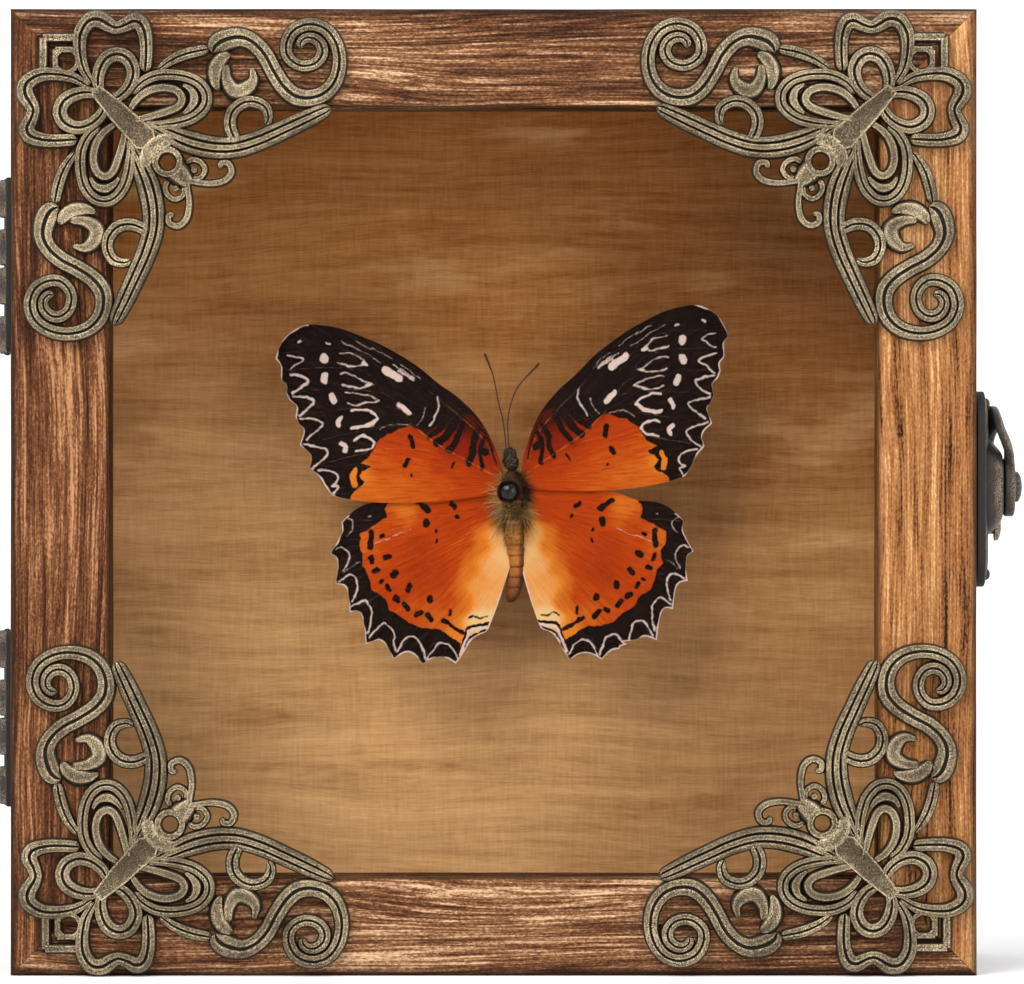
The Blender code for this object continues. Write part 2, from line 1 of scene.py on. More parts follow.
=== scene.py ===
# %% [markdown]
# # A framed butterfly, piece by piece
#
# The real thing is a small glazed box of torched wood that stands on its bottom edge. A butterfly is
# pinned to its light backboard, four cast brass butterflies cover the mitres of the lid, two hinges
# hold the lid on the left and a swing catch closes it on the right. The solid model of all that comes
# in first, as a fixed frame: it says where each piece sits. The pieces made here are the detailed
# ones that are looked at, and each one rides on a body of that frame.

# %% Load the frame
import json
import math
import random

import bmesh
import bpy
import numpy as np
from mathutils import Matrix, Vector, noise
from mathutils.geometry import delaunay_2d_cdt


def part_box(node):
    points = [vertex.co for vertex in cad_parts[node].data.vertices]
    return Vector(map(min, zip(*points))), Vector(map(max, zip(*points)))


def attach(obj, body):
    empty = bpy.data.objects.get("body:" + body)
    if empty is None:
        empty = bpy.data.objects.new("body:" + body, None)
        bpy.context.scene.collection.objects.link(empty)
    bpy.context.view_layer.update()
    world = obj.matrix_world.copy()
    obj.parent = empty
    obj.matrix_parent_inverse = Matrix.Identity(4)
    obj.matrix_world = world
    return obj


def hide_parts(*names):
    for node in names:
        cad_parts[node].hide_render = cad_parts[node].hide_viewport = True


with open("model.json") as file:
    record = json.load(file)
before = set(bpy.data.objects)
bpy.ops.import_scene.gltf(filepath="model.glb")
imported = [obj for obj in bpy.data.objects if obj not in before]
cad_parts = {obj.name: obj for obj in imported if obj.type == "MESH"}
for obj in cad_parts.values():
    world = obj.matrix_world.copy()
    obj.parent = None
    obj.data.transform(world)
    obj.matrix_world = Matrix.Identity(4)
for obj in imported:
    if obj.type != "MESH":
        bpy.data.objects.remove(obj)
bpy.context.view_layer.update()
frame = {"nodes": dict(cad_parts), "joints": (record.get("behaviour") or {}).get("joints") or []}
MM = 0.001


# %% [markdown]
# ## Where things are
#
# Everything below is worked out in millimetres, because that is how a maker thinks of a box this
# small. Blender works in metres, so one helper reads the corners of a solid in millimetres.

# %% Corners of the solids
def corners(node):
    """Lowest and highest corner of a solid, in millimetres."""
    low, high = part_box(node)
    return np.array(low) / MM, np.array(high) / MM


LID_LOW, LID_HIGH = corners("lid_rail_bottom")
FACE = LID_LOW[1]
HALF = corners("base_wall_right")[1][0]
PANE_LOW, PANE_HIGH = corners("glass_pane")
BOARD_LOW, BOARD_HIGH = corners("back_panel")
RAIL = LID_HIGH[2]
print("lid face at y", round(FACE, 2), "half width", round(HALF, 2), "rail width", round(RAIL, 2))


# %% [markdown]
# ## Camera
#
# The box is looked at straight from the front, level with its middle, from about a metre away. A long
# lens does that without bending the edges of the frame. The lens is worked out from how much of the
# scene should fit across the frame of the view.

# %% Camera
SEEN_ACROSS = 174.54
CAMERA_BACK = 1000.0
CAMERA_SIDE = 3.15
SENSOR = 36.0

lens = bpy.data.cameras.new("camera")
lens.sensor_width = SENSOR
lens.lens = SENSOR * CAMERA_BACK / SEEN_ACROSS
lens.clip_start = 0.01
camera = bpy.data.objects.new("camera", lens)
camera.location = (CAMERA_SIDE * MM, (FACE - CAMERA_BACK) * MM, HALF * MM)
camera.rotation_euler = (math.radians(90), 0, 0)
bpy.context.scene.collection.objects.link(camera)
bpy.context.scene.camera = camera
print("lens", round(lens.lens, 1), "mm")


# %% [markdown]
# ## Floor, backdrop and light
#
# A product is usually photographed on one plain sweep of pale paper: a floor that bends up into a
# wall. The sweep is one grid whose rows follow that bend. Soft light comes from a wide lamp above and
# to the left, which throws the butterfly's shadow down and to the right, and weaker ones fill in.

# %% Sweep of paper
def paper_sweep(width, front, bend, height):
    """A floor that curves up into a wall: (y, z) rows, each as wide as the sweep."""
    rows = [(front, 0.0)]
    for step in range(13):
        turn = math.radians(90 * step / 12)
        rows.append((bend + 0.5 * math.sin(turn), 0.5 - 0.5 * math.cos(turn)))
    rows.append((bend + 0.5, height))
    points = [(side * width / 2, y, z) for y, z in rows for side in (-1, 1)]
    faces = [(2 * i, 2 * i + 1, 2 * i + 3, 2 * i + 2) for i in range(len(rows) - 1)]
    mesh = bpy.data.meshes.new("paper_sweep")
    mesh.from_pydata(points, [], faces)
    mesh.shade_smooth()
    sweep = bpy.data.objects.new("paper_sweep", mesh)
    bpy.context.scene.collection.objects.link(sweep)
    return sweep


paper = paper_sweep(width=6.0, front=-3.0, bend=0.7, height=3.0)
bpy.context.scene.view_settings.view_transform = "Standard"


# %% Lamps
def soft_lamp(name, place, aim, size, power, tint):
    lamp = bpy.data.lights.new(name, "AREA")
    lamp.shape = "DISK"
    lamp.size = size
    lamp.energy = power
    lamp.color = tint
    made = bpy.data.objects.new(name, lamp)
    made.location = place
    made.rotation_euler = (Vector(aim) - Vector(place)).to_track_quat("-Z", "Y").to_euler()
    bpy.context.scene.collection.objects.link(made)
    return made


middle = (0, 0, HALF * MM)
soft_lamp("key", (-0.55, -0.95, 0.95), middle, 0.75, 15.0, (1.0, 0.98, 0.95))
soft_lamp("fill", (0.9, -1.1, 0.35), middle, 0.9, 6.5, (0.95, 0.97, 1.0))
soft_lamp("wall_left", (-1.2, -0.2, 1.2), (0, 1.2, 0.6), 1.0, 14.0, (1.0, 1.0, 1.0))
soft_lamp("wall_right", (1.2, -0.2, 1.2), (0, 1.2, 0.6), 1.0, 14.0, (1.0, 1.0, 1.0))
world = bpy.data.worlds.new("studio")
world.use_nodes = True
world.node_tree.nodes["Background"].inputs["Color"].default_value = (1.0, 1.0, 1.0, 1.0)
world.node_tree.nodes["Background"].inputs["Strength"].default_value = 0.75
bpy.context.scene.world = world


# %% [markdown]
# ## Sums on sockets
#
# A procedural finish is mostly arithmetic: a bit of this noise, times that mask, cut off at some
# level. Wiring each Math node by hand hides the sum. Here a small class wraps a socket, so that
# `1 - mask` or `grain * 0.4 + dust` adds the Math nodes by itself. Another holds the material, adds
# any other node, and mixes colours.

# %% Socket and finish classes
class Wire:
    """A socket that takes part in sums."""

    def __init__(self, finish, socket):
        self.finish = finish
        self.socket = socket

    def sum(self, operation, first, second):
        return self.finish.node("Math", {"operation": operation}, {0: first, 1: second})

    def __add__(self, other):
        return self.sum("ADD", self, other)

    def __sub__(self, other):
        return self.sum("SUBTRACT", self, other)

    def __rsub__(self, other):
        return self.sum("SUBTRACT", other, self)

    def __mul__(self, other):
        return self.sum("MULTIPLY", self, other)

    def __pow__(self, other):
        return self.sum("POWER", self, other)

    def __abs__(self):
        return self.sum("ABSOLUTE", self, 0.0)

    __radd__ = __add__
    __rmul__ = __mul__


class Finish:
    """A material under construction."""

    def __init__(self, name):
        self.material = bpy.data.materials.new(name)
        self.material.use_nodes = True
        self.tree = self.material.node_tree
        self.shader = self.tree.nodes["Principled BSDF"]
        self.output = self.tree.nodes["Material Output"]

    def node(self, kind, settings=None, sockets=None, result=0):
        """Adds a node: its settings first, then the values or links of its sockets."""
        made = self.tree.nodes.new("ShaderNode" + kind)
        for setting, value in (settings or {}).items():
            if setting == "stops":
                self.place_stops(made.color_ramp, value)
            else:
                setattr(made, setting, value)
        for socket, value in (sockets or {}).items():
            self.feed(made.inputs[socket], value)
        return Wire(self, made.outputs[result])

    def place_stops(self, ramp, stops):
        while len(ramp.elements) < len(stops):
            ramp.elements.new(0.5)
        for element, (position, colour) in zip(ramp.elements, stops):
            element.position = position
            element.color = (*colour, 1.0)

    def feed(self, socket, value):
        if isinstance(value, Wire):
            self.tree.links.new(value.socket, socket)
        elif isinstance(value, tuple) and len(value) == 3 and socket.type == "RGBA":
            socket.default_value = (*value, 1.0)
        else:
            socket.default_value = value

    def set(self, **sockets):
        """Values or links of the main shader's sockets; an underscore stands for a space."""
        for name, value in sockets.items():
            self.feed(self.shader.inputs[name.replace("_", " ")], value)

    def mix(self, mask, first, second):
        """Colours only: the first where the mask is 0, the second where it is 1."""
        return self.node("Mix", {"data_type": "RGBA"}, {0: mask, 6: first, 7: second}, 2)

    def ramp(self, value, *stops):
        return self.node("ValToRGB", {"stops": stops}, {"Fac": value})

    def step(self, value, low, high, smooth=True):
        """0 below `low`, 1 above `high`, and a soft step between."""
        kind = "SMOOTHSTEP" if smooth else "LINEAR"
        return self.node(
            "MapRange",
            {"interpolation_type": kind},
            {"Value": value, "From Min": low, "From Max": high},
        )

    def attribute(self, name, result="Fac"):
        return self.node("Attribute", {"attribute_name": name}, result=result)

    def place(self):
        """Where a spot of the surface is, in millimetres."""
        spot = self.node("TexCoord", result="Object")
        return self.stretch(spot, (1 / MM, 1 / MM, 1 / MM))

    def stretch(self, where, factors):
        return self.node("VectorMath", {"operation": "MULTIPLY"}, {0: where, 1: factors})

    def shift(self, where, amount):
        return self.node("VectorMath", {"operation": "ADD"}, {0: where, 1: amount})

    def noise(self, where, scale=1.0, detail=2.0, roughness=0.5):
        return self.node(
            "TexNoise",
            {},
            {"Vector": where, "Scale": scale, "Detail": detail, "Roughness": roughness},
        )

    def bump(self, height, distance, strength=1.0):
        """Relief `distance` millimetres deep, for the shader's Normal."""
        return self.node(
            "Bump",
            {},
            {"Height": height, "Distance": distance * MM, "Strength": strength},
        )


print("sums on sockets are ready")


# %% [markdown]
# ## Torched wood
#
# The bars are softwood, scorched with a torch and brushed: the soft summer wood burns and brushes
# away, the hard winter rings stay proud and lighter. So the colour is streaks along the grain. Each
# bar carries its own grain coordinates (along the bar, in from its outer side, depth), because the
# grain of a stile runs up and that of a rail runs across. Stretching those coordinates before a noise
# pulls its blobs out into streaks.

# %% Wood finish
def torched_wood(name, char, ground, streak, pale):
    finish = Finish(name)
    grain = finish.attribute("grain", "Vector")
    wander = finish.noise(finish.stretch(grain, (0.012, 0.06, 0.06)), detail=1)
    drift = finish.node("CombineXYZ", {}, {"Y": (wander - 0.5) * 9.0, "Z": (wander - 0.5) * 5.0})
    bent = finish.node("VectorMath", {"operation": "ADD"}, {0: grain, 1: drift})
    rings = finish.noise(finish.stretch(bent, (0.016, 0.42, 0.42)), detail=4, roughness=0.62)
    fibres = finish.noise(finish.stretch(bent, (0.055, 2.3, 2.3)), detail=3, roughness=0.65)
    grit = finish.noise(finish.stretch(grain, (1.5, 2.9, 2.9)), detail=3, roughness=0.75)
    patch = finish.noise(finish.stretch(grain, (0.02, 0.05, 0.05)), detail=1)
    tone = rings * 0.75 + fibres * 0.95 + grit * 0.60 + patch * 0.30 - 0.80
    colour = finish.ramp(
        tone,
        (0.27, char),
        (0.43, ground),
        (0.58, streak),
        (0.76, pale),
    )
    # Darker towards the edges: real char on the outer arris and, on the lid, painted shade along the
    # opening's inner edge.
    inward = finish.attribute("arris")
    char_and_edge_shade = (1.0 - inward) * (0.45 + rings * 0.7)
    finish.set(
        Base_Color=finish.mix(char_and_edge_shade, colour, char),
        Roughness=0.50 + fibres * 0.25,
        Normal=finish.bump(rings * 0.5 + fibres * 0.6 + grit * 0.5, 0.22, 0.8),
    )
    finish.shader.inputs["Specular IOR Level"].default_value = 0.1
    return finish.material


CHAR = (0.014, 0.0048, 0.0020)
wood_mid = torched_wood("torched_wood_mid", CHAR, (0.054, 0.0155, 0.0048),
                        (0.142, 0.051, 0.0175), (0.40, 0.195, 0.088))
wood_pale = torched_wood("torched_wood_pale", CHAR, (0.225, 0.082, 0.0230),
                         (0.34, 0.150, 0.052), (0.62, 0.345, 0.150))
wood_dusky = torched_wood("torched_wood_dusky", CHAR, (0.068, 0.0220, 0.0075),
                          (0.190, 0.081, 0.032), (0.60, 0.375, 0.22))
print("woods:", wood_mid.name, wood_pale.name, wood_dusky.name)


# %% [markdown]
# ## Mitred bars
#
# A moulding is one profile pushed along a line, and a mitre only means that each point of the profile
# stops at its own length. So a bar is a grid: profile points one way, stations the other. Making the
# grid fine leaves room to brush the rings out of the front face with real relief. The relief only goes
# inwards, so a bar never grows past its solid.

# %% Mesh helpers
def make_piece(name, points, faces, finish, body, stands_for=(), values=None, smooth=40):
    """A mesh object from millimetre points that rides on a body and stands for solids."""
    mesh = bpy.data.meshes.new(name)
    mesh.from_pydata(np.asarray(points, float) * MM, [], faces)
    for key, value in (values or {}).items():
        value = np.asarray(value, np.float32)
        kind = "FLOAT_VECTOR" if value.ndim == 2 else "FLOAT"
        layer = mesh.attributes.new(key, kind, "POINT")
        layer.data.foreach_set("vector" if value.ndim == 2 else "value", value.ravel())
    shape = bmesh.new()
    shape.from_mesh(mesh)
    bmesh.ops.recalc_face_normals(shape, faces=shape.faces)
    shape.to_mesh(mesh)
    shape.free()
    if smooth:
        mesh.shade_smooth()
        mesh.set_sharp_from_angle(angle=math.radians(smooth))
    mesh.materials.append(finish)
    piece = bpy.data.objects.new(name, mesh)
    bpy.context.scene.collection.objects.link(piece)
    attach(piece, body)
    if stands_for:
        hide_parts(*stands_for)
    return piece


def skin(rings, closed=True):
    """Points and faces through rings of equal length, with both ends capped."""
    count = len(rings[0])
    points = np.concatenate(rings)
    faces = []
    for i in range(len(rings) - 1):
        for j in range(count if closed else count - 1):
            k = (j + 1) % count
            faces.append((i * count + j, i * count + k, (i + 1) * count + k, (i + 1) * count + j))
    faces.append(tuple(range(count))[::-1])
    faces.append(tuple(range(len(points) - count, len(points))))
    return points, faces


def dense(line, step, closed=True):
    """The same polyline with extra points, none further apart than `step`."""
    made = []
    ends = line[1:] + line[:1] if closed else line[1:]
    for start, end in zip(line, ends):
        start, end = np.array(start, float), np.array(end, float)
        count = max(1, math.ceil(np.linalg.norm(end - start) / step))
        made += [start + (end - start) * i / count for i in range(count)]
    return np.array(made if closed else made + [np.array(line[-1], float)])


def arc(centre, radius, start, end, steps):
    angles = [math.radians(start + (end - start) * i / steps) for i in range(steps + 1)]
    return [(centre[0] + radius * math.cos(a), centre[1] + radius * math.sin(a)) for a in angles]


print("mesh helpers are ready")


# %% Profiles of the lid and the base
GLASS_GROOVE = (PANE_LOW[1] - 0.15, PANE_HIGH[1] + 0.15)
GROOVE_BOTTOM = HALF + PANE_LOW[0] - 0.3
WALL_BOX = corners("base_wall_bottom")
WALL = WALL_BOX[1][2]
REBATE = HALF + BOARD_LOW[0] - 0.3
LID_BACK = LID_HIGH[1]


def lid_profile():
    """(distance in from the outer side, y) points round a lid bar."""
    outer = arc((1.2, FACE + 1.2), 1.2, 180, 270, 6)
    inner = arc((RAIL - 0.6, FACE + 0.6), 0.6, 270, 360, 4)
    near, far = GLASS_GROOVE
    slot = [(RAIL, near), (GROOVE_BOTTOM, near), (GROOVE_BOTTOM, far), (RAIL, far)]
    rest = [(RAIL, LID_BACK), (0.5, LID_BACK), (0, LID_BACK - 0.5)]
    return dense(outer + inner + slot + rest, 0.34)


def base_profile():
    back = WALL_BOX[1][1]
    front = WALL_BOX[0][1]
    ledge = BOARD_LOW[1] - 0.2
    outer = arc((1.2, back - 1.2), 1.2, 90, 180, 6)
    line = [(0.5, front), (WALL, front), (WALL, ledge), (REBATE, ledge), (REBATE, back)]
    return dense(line + outer + [(0, front + 0.5)], 0.6)


print("lid profile:", len(lid_profile()), "points; base profile:", len(base_profile()), "points")


# %% Bars
MITRE_GAP = 0.03
STATION = 2.4


def brushed(along, profile, normals, seed):
    """How far the brush has worn each profile point inwards at one station."""
    worn = []
    for (u, y), (nu, ny) in zip(profile, normals):
        spot = Vector((along * 0.02 + seed, u * 0.55, y * 0.55))
        fine = Vector((along * 0.05 + seed, u * 1.5, y * 1.5))
        depth = 0.10 * (0.5 + noise.noise(spot)) + 0.05 * (0.5 + noise.noise(fine))
        worn.append(max(depth, 0.0))
    return np.array(worn)


def mitred_bar(node, quarter, profile, finish, body):
    after, before = np.roll(profile, -1, axis=0), np.roll(profile, 1, axis=0)
    run = after - before
    normals = np.stack([run[:, 1], -run[:, 0]], 1) / np.linalg.norm(run, axis=1)[:, None]
    centre = profile.mean(0)
    outward = np.sign(((profile - centre) * normals).sum())
    normals = normals * outward
    rings, grain, arris = [], [], []
    turn = np.array(Matrix.Rotation(math.radians(90 * quarter), 3, "Y"))
    count = round(2 * HALF / STATION)
    for station in range(count + 1):
        share = 2 * station / count - 1
        along = share * (HALF - profile[:, 0] - MITRE_GAP)
        worn = brushed(share * HALF, profile, normals, 7.3 * quarter + (body == "lid"))
        u = profile[:, 0] - normals[:, 0] * worn
        y = profile[:, 1] - normals[:, 1] * worn
        local = np.stack([along, y, u - HALF], 1)
        rings.append(local @ turn.T + (0, 0, HALF))
        grain.append(np.stack([along + 400 * quarter, profile[:, 0], y * 1.0], 1))
        # The arris number falls at the outer side, where the torch charred the wood, and on the lid
        # along the opening's inner edge, where the darkening is painted shade.
        edge = np.minimum(profile[:, 0] / 2.2, 1.0)
        inner = np.clip((RAIL - profile[:, 0]) / 0.5, 0.35, 1.0) if body == "lid" else 1.0
        arris.append(edge * edge * (3 - 2 * edge) * inner)
    points, faces = skin(rings)
    values = {"grain": np.concatenate(grain), "arris": np.concatenate(arris)}
    name = node + "_bar"
    return make_piece(name, points, faces, finish, body, [node], values, 30)


LID_BARS = (
    ("lid_rail_bottom", wood_dusky),
    ("lid_stile_left", wood_mid),
    ("lid_rail_top", wood_dusky),
    ("lid_stile_right", wood_pale),
)
for quarter, (node, finish) in enumerate(LID_BARS):
    mitred_bar(node, quarter, lid_profile(), finish, "lid")
BASE_BARS = ("base_wall_bottom", "base_wall_left", "base_wall_top", "base_wall_right")
for quarter, node in enumerate(BASE_BARS):
    mitred_bar(node, quarter, base_profile(), wood_mid, "case")


# %% [markdown]
# ## Backboard
#
# The specimen is pinned to a thin pale board whose fine grain runs across. Its colour is painted from
# a deep amber under the top rail to a light tan towards the bottom, and darker towards the right:
# this is painted shade from the rail and the frame. A painted shadow darkens the right side further.
# The solid is a board already, so it stays and only gets a finish.

# %% Board finish
def board_finish():
    finish = Finish("light_board")
    spot = finish.place()
    height = finish.node("SeparateXYZ", {}, {"Vector": spot}, "Z")
    wander = finish.noise(finish.stretch(spot, (0.012, 0.02, 0.04)), detail=1)
    drift = finish.node("CombineXYZ", {}, {"Z": (wander - 0.5) * 10.0})
    bent = finish.node("VectorMath", {"operation": "ADD"}, {0: spot, 1: drift})
    grain = finish.noise(finish.stretch(bent, (0.045, 0.3, 0.75)), detail=4, roughness=0.6)
    fibres = finish.noise(finish.stretch(bent, (0.22, 1.0, 4.4)), detail=3, roughness=0.65)
    cross = finish.noise(finish.stretch(spot, (2.2, 0.5, 0.22)), detail=2)
    cloud = finish.noise(finish.stretch(spot, (0.02, 0.02, 0.03)), detail=2)
    across = finish.node("SeparateXYZ", {}, {"Vector": spot}, "X")
    # Painted shade: the colour darkens towards the top, under the rail, and towards the right.
    level = finish.step(height + across * 0.22 + (cloud - 0.5) * 40.0, 0.0, 150.0, False)
    tone = finish.ramp(
        level,
        (0.0, (0.62, 0.330, 0.138)),
        (0.28, (0.61, 0.320, 0.130)),
        (0.50, (0.62, 0.305, 0.115)),
        (0.76, (0.36, 0.118, 0.021)),
        (1.0, (0.285, 0.075, 0.007)),
    )
    # Painted shadow: the right side of the board is darkened further.
    painted_shadow_right = finish.step(across + (cloud - 0.5) * 60.0, -5.0, 60.0)
    tone = finish.mix(painted_shadow_right * 0.44, tone, (0.17, 0.050, 0.010))
    stain = finish.noise(finish.stretch(spot, (0.028, 0.02, 0.10)), detail=4, roughness=0.6)
    tone = finish.mix(finish.step(stain, 0.50, 0.68) * 0.50, tone, (0.19, 0.048, 0.006))
    tone = finish.mix(finish.step(stain, 0.48, 0.30) * 0.40, tone, (0.80, 0.45, 0.20))
    marks = (grain - 0.5) * 0.8 + (fibres - 0.5) * 0.8 + (cross - 0.5) * 0.35
    darker = finish.mix(0.46, tone, (0.12, 0.034, 0.005))
    lighter = finish.mix(0.20, tone, (0.85, 0.50, 0.22))
    finish.set(
        Base_Color=finish.mix(finish.step(marks, -0.28, 0.28, False), darker, lighter),
        Roughness=0.62,
        Normal=finish.bump(grain + fibres * 0.5 + cross * 0.3, 0.06, 0.5),
    )
    finish.shader.inputs["Specular IOR Level"].default_value = 0.03
    return finish.material


board = frame["nodes"]["back_panel"]
board.material_slots[0].material = board_finish()
print("board finish on", board.name)


# %% [markdown]
# ## Glass
#
# The pane is clear window glass. Real refraction through a flat pane only moves what is behind it by
# a hair, and costs a lot of light and time. So the finish lets light straight through and adds a
# faint gloss that grows towards grazing angles, which is what one sees of clean glass.

# %% Pane finish
def pane_finish():
    finish = Finish("clear_pane")
    finish.set(Base_Color=(0.9, 0.95, 0.93), Roughness=0.04)
    clear = finish.node("BsdfTransparent", {}, {"Color": (0.985, 0.99, 0.985)})
    graze = finish.node("Fresnel", {}, {"IOR": 1.05})
    both = finish.node(
        "MixShader", {}, {0: graze, 1: clear, 2: Wire(finish, finish.shader.outputs["BSDF"])}
    )
    finish.feed(finish.output.inputs["Surface"], both)
    return finish.material


pane = frame["nodes"]["glass_pane"]
pane.material_slots[0].material = pane_finish()
print("pane finish on", pane.name)


# %% [markdown]
# ## Antique brass
#
# Antique brass is bright brass that was blackened and then rubbed: the tops of the ridges come back
# pale, the grooves stay black, and the rough cast skin keeps black specks everywhere. Each casting
# carries a number called crest, 0 in a groove and 1 on a ridge, and the finish uses it as the place
# where rubbing reached. Noise breaks its edge up. Where the crest is highest the brightest colour is
# used, which is partly rubbed metal and partly a painted highlight, and a low crest also paints shade.

# %% Metal finishes
def rubbed_metal(name, black, dull, bright, grain_size, rubbed):
    finish = Finish(name)
    spot = finish.place()
    crest = finish.attribute("crest")
    cast = finish.noise(spot, 3.6 / grain_size, 3, 0.65)
    cloud = finish.noise(spot, 0.16, 2)
    specks = finish.noise(spot, 6.5 / grain_size, 2, 0.6)
    reach = crest + (cast - 0.5) * 0.48 + (cloud - 0.5) * 0.34
    rub = finish.step(reach, rubbed - 0.22, rubbed + 0.22)
    pits = finish.step(specks, 0.40, 0.56)
    # Partly a painted highlight: the brightest colour goes where the crest is highest, along the ridge
    # edges.
    polish_and_highlight = finish.step(reach, rubbed + 0.16, rubbed + 0.56)
    metal = finish.mix(polish_and_highlight, dull, bright)
    pitted = finish.mix(pits, black, metal)
    finish.set(
        Base_Color=finish.mix(rub, black, pitted),
        Metallic=0.35 + rub * pits * 0.6,
        Roughness=0.62 - rub * pits * 0.25 + cast * 0.08,
        Normal=finish.bump(cast + specks * 0.7, 0.16, 0.7),
    )
    return finish.material


antique_brass = rubbed_metal("antique_brass", (0.008, 0.006, 0.004), (0.110, 0.079, 0.042),
                             (0.78, 0.62, 0.385), 1.0, 0.47)
dark_bronze = rubbed_metal("dark_bronze", (0.010, 0.008, 0.006), (0.060, 0.047, 0.036),
                           (0.26, 0.21, 0.16), 1.3, 0.55)
print("metals:", antique_brass.name, dark_bronze.name)


# %% [markdown]
# ## Corner castings
#
# Each lid corner is covered by a thin brass casting: a butterfly whose body lies on the mitre, with
# scrolls running out along both bars. It is all made of raised bands with one or two black grooves.
# One could carve them as a relief, but bands are lines, so they are drawn as lines here: a smooth
# curve through a few (along one bar, along the other, half width) points, and a ridged section swept
# along it. Half a casting is drawn, and the other half swaps its two coordinates.

# %% Bands of one half of a casting: name, ridges, points
BANDS = (
    ("heart_wing", 2, ((9.4, 8.9, 0.6), (7.8, 6.1, 1.1), (7.2, 2.9, 1.3), (7.4, 0.2, 1.5),
                       (8.7, -1.8, 1.6), (10.5, -2.1, 1.7), (12.3, -1.1, 1.5), (13.4, -0.7, 1.3),
                       (14.8, -1.1, 1.4), (16.4, -1.8, 1.6), (17.7, -1.2, 1.6), (18.4, 1.0, 1.4),
                       (18.5, 3.7, 1.3), (18.3, 6.8, 1.2))),
    ("heart_ring", 2, ((10.9, 10.6, 0.9), (10.3, 8.6, 1.2), (10.7, 6.2, 1.4), (11.9, 4.4, 1.5),
                       (13.7, 3.8, 1.5), (15.4, 4.6, 1.5), (16.3, 6.6, 1.4), (15.8, 8.8, 1.3),
                       (14.4, 10.6, 1.2), (12.6, 11.6, 1.0))),
    ("side_outer", 2, ((16.0, 10.6, 0.8), (17.6, 8.7, 1.0), (20.4, 7.4, 1.1), (24.2, 7.4, 1.1),
                       (27.1, 8.4, 1.1), (28.7, 10.3, 1.1), (28.6, 12.6, 1.1), (26.7, 14.5, 1.1),
                       (23.8, 15.5, 1.1), (20.3, 15.9, 0.9), (17.8, 16.0, 0.7))),
    ("side_inner", 1, ((15.6, 13.4, 0.7), (17.0, 11.4, 0.9), (19.0, 10.0, 1.0), (21.6, 9.5, 1.0),
                       (23.8, 10.1, 1.0), (24.6, 11.5, 1.0), (23.8, 12.8, 1.0), (21.6, 13.7, 1.0),
                       (18.8, 14.5, 0.9), (16.2, 15.0, 0.7))),
    ("side_fill", 1, ((24.6, 8.9, 0.3), (26.2, 9.9, 0.8), (26.7, 11.5, 1.1), (26.0, 12.9, 0.8),
                      (24.6, 14.1, 0.3))),
    ("arm", 3, ((17.6, 15.4, 0.6), (19.9, 16.1, 1.1), (22.2, 17.2, 1.6), (25.8, 18.7, 2.1),
                (29.7, 19.6, 2.1), (33.6, 19.6, 2.0), (37.5, 18.5, 1.9), (41.4, 16.8, 1.8),
                (45.3, 15.0, 1.7), (48.3, 13.6, 1.4), (49.9, 12.9, 1.1))),
    ("arm_curl", 2, ((34.0, 19.0, 1.1), (32.8, 16.2, 1.25), (33.1, 13.8, 1.25), (34.8, 12.2, 1.2),
                     (36.9, 11.9, 1.15), (38.8, 12.9, 1.1), (39.3, 14.8, 0.9), (38.7, 15.9, 0.6))),
    ("stem", 2, ((20.4, 6.5, 0.6), (23.0, 4.7, 1.05), (25.8, 3.6, 1.15), (29.2, 2.9, 1.0))),
    ("scroll", 2, ((29.8, 3.6, 1.2), (30.3, 2.4, 1.9), (31.8, 1.4, 2.1), (34.4, 0.9, 1.9),
                   (36.7, 1.8, 1.7), (38.7, 3.9, 1.7), (40.2, 6.7, 1.7), (42.0, 9.4, 1.75),
                   (44.1, 11.0, 1.8), (46.7, 11.2, 1.7), (49.1, 10.2, 1.6), (50.8, 8.0, 1.5),
                   (51.4, 4.9, 1.4), (50.8, 1.9, 1.35), (49.1, -0.4, 1.3), (46.5, -1.3, 1.3),
                   (43.9, -0.5, 1.3), (42.5, 1.5, 1.25), (42.4, 3.7, 1.2), (43.6, 5.2, 1.15),
                   (45.4, 5.8, 1.15), (47.3, 5.3, 1.15), (48.4, 3.9, 1.2), (48.3, 2.3, 1.2),
                   (47.2, 1.2, 1.1), (45.8, 1.0, 1.0), (44.8, 1.8, 0.9), (44.8, 2.9, 0.6))),
    ("leaf", 1, ((32.8, 3.7, 1.0), (31.3, 4.6, 1.5), (30.3, 6.3, 1.7), (30.2, 8.4, 1.3),
                 (30.8, 10.0, 0.5))),
    ("comma", 1, ((32.1, 5.4, 0.8), (32.2, 8.0, 1.3), (33.4, 9.9, 1.7), (35.2, 9.8, 1.7),
                  (36.7, 8.2, 1.2), (36.4, 5.9, 0.5))),
    ("small_hook", 1, ((25.2, 25.3, 0.7), (26.5, 25.5, 0.7), (29.3, 25.8, 0.75),
                       (31.8, 25.3, 0.8), (33.0, 23.9, 0.8), (32.5, 22.4, 0.75),
                       (31.2, 22.4, 0.7), (31.1, 23.4, 0.6))),
    ("eye_curl", 1, ((25.2, 22.3, 0.65), (26.4, 21.7, 0.65), (27.8, 22.2, 0.65),
                     (28.5, 23.5, 0.65), (27.7, 24.8, 0.6), (26.3, 24.9, 0.55))),
    ("bracket_outer", 1, ((6.6, 0.95, 0.95), (0.95, 0.95, 0.95))),
    ("bracket_inner", 1, ((6.8, 3.0, 0.75), (3.0, 3.0, 0.75))),
)
BODY_PLATE = ((8.9, 10.5), (10.5, 8.9), (14.8, 12.2), (19.9, 16.7), (20.2, 18.2), (18.2, 20.2),
              (16.7, 19.9), (12.2, 14.8))
HEAD_BAND = (22.1, 22.1, 3.7, 1.75, 160, 290)
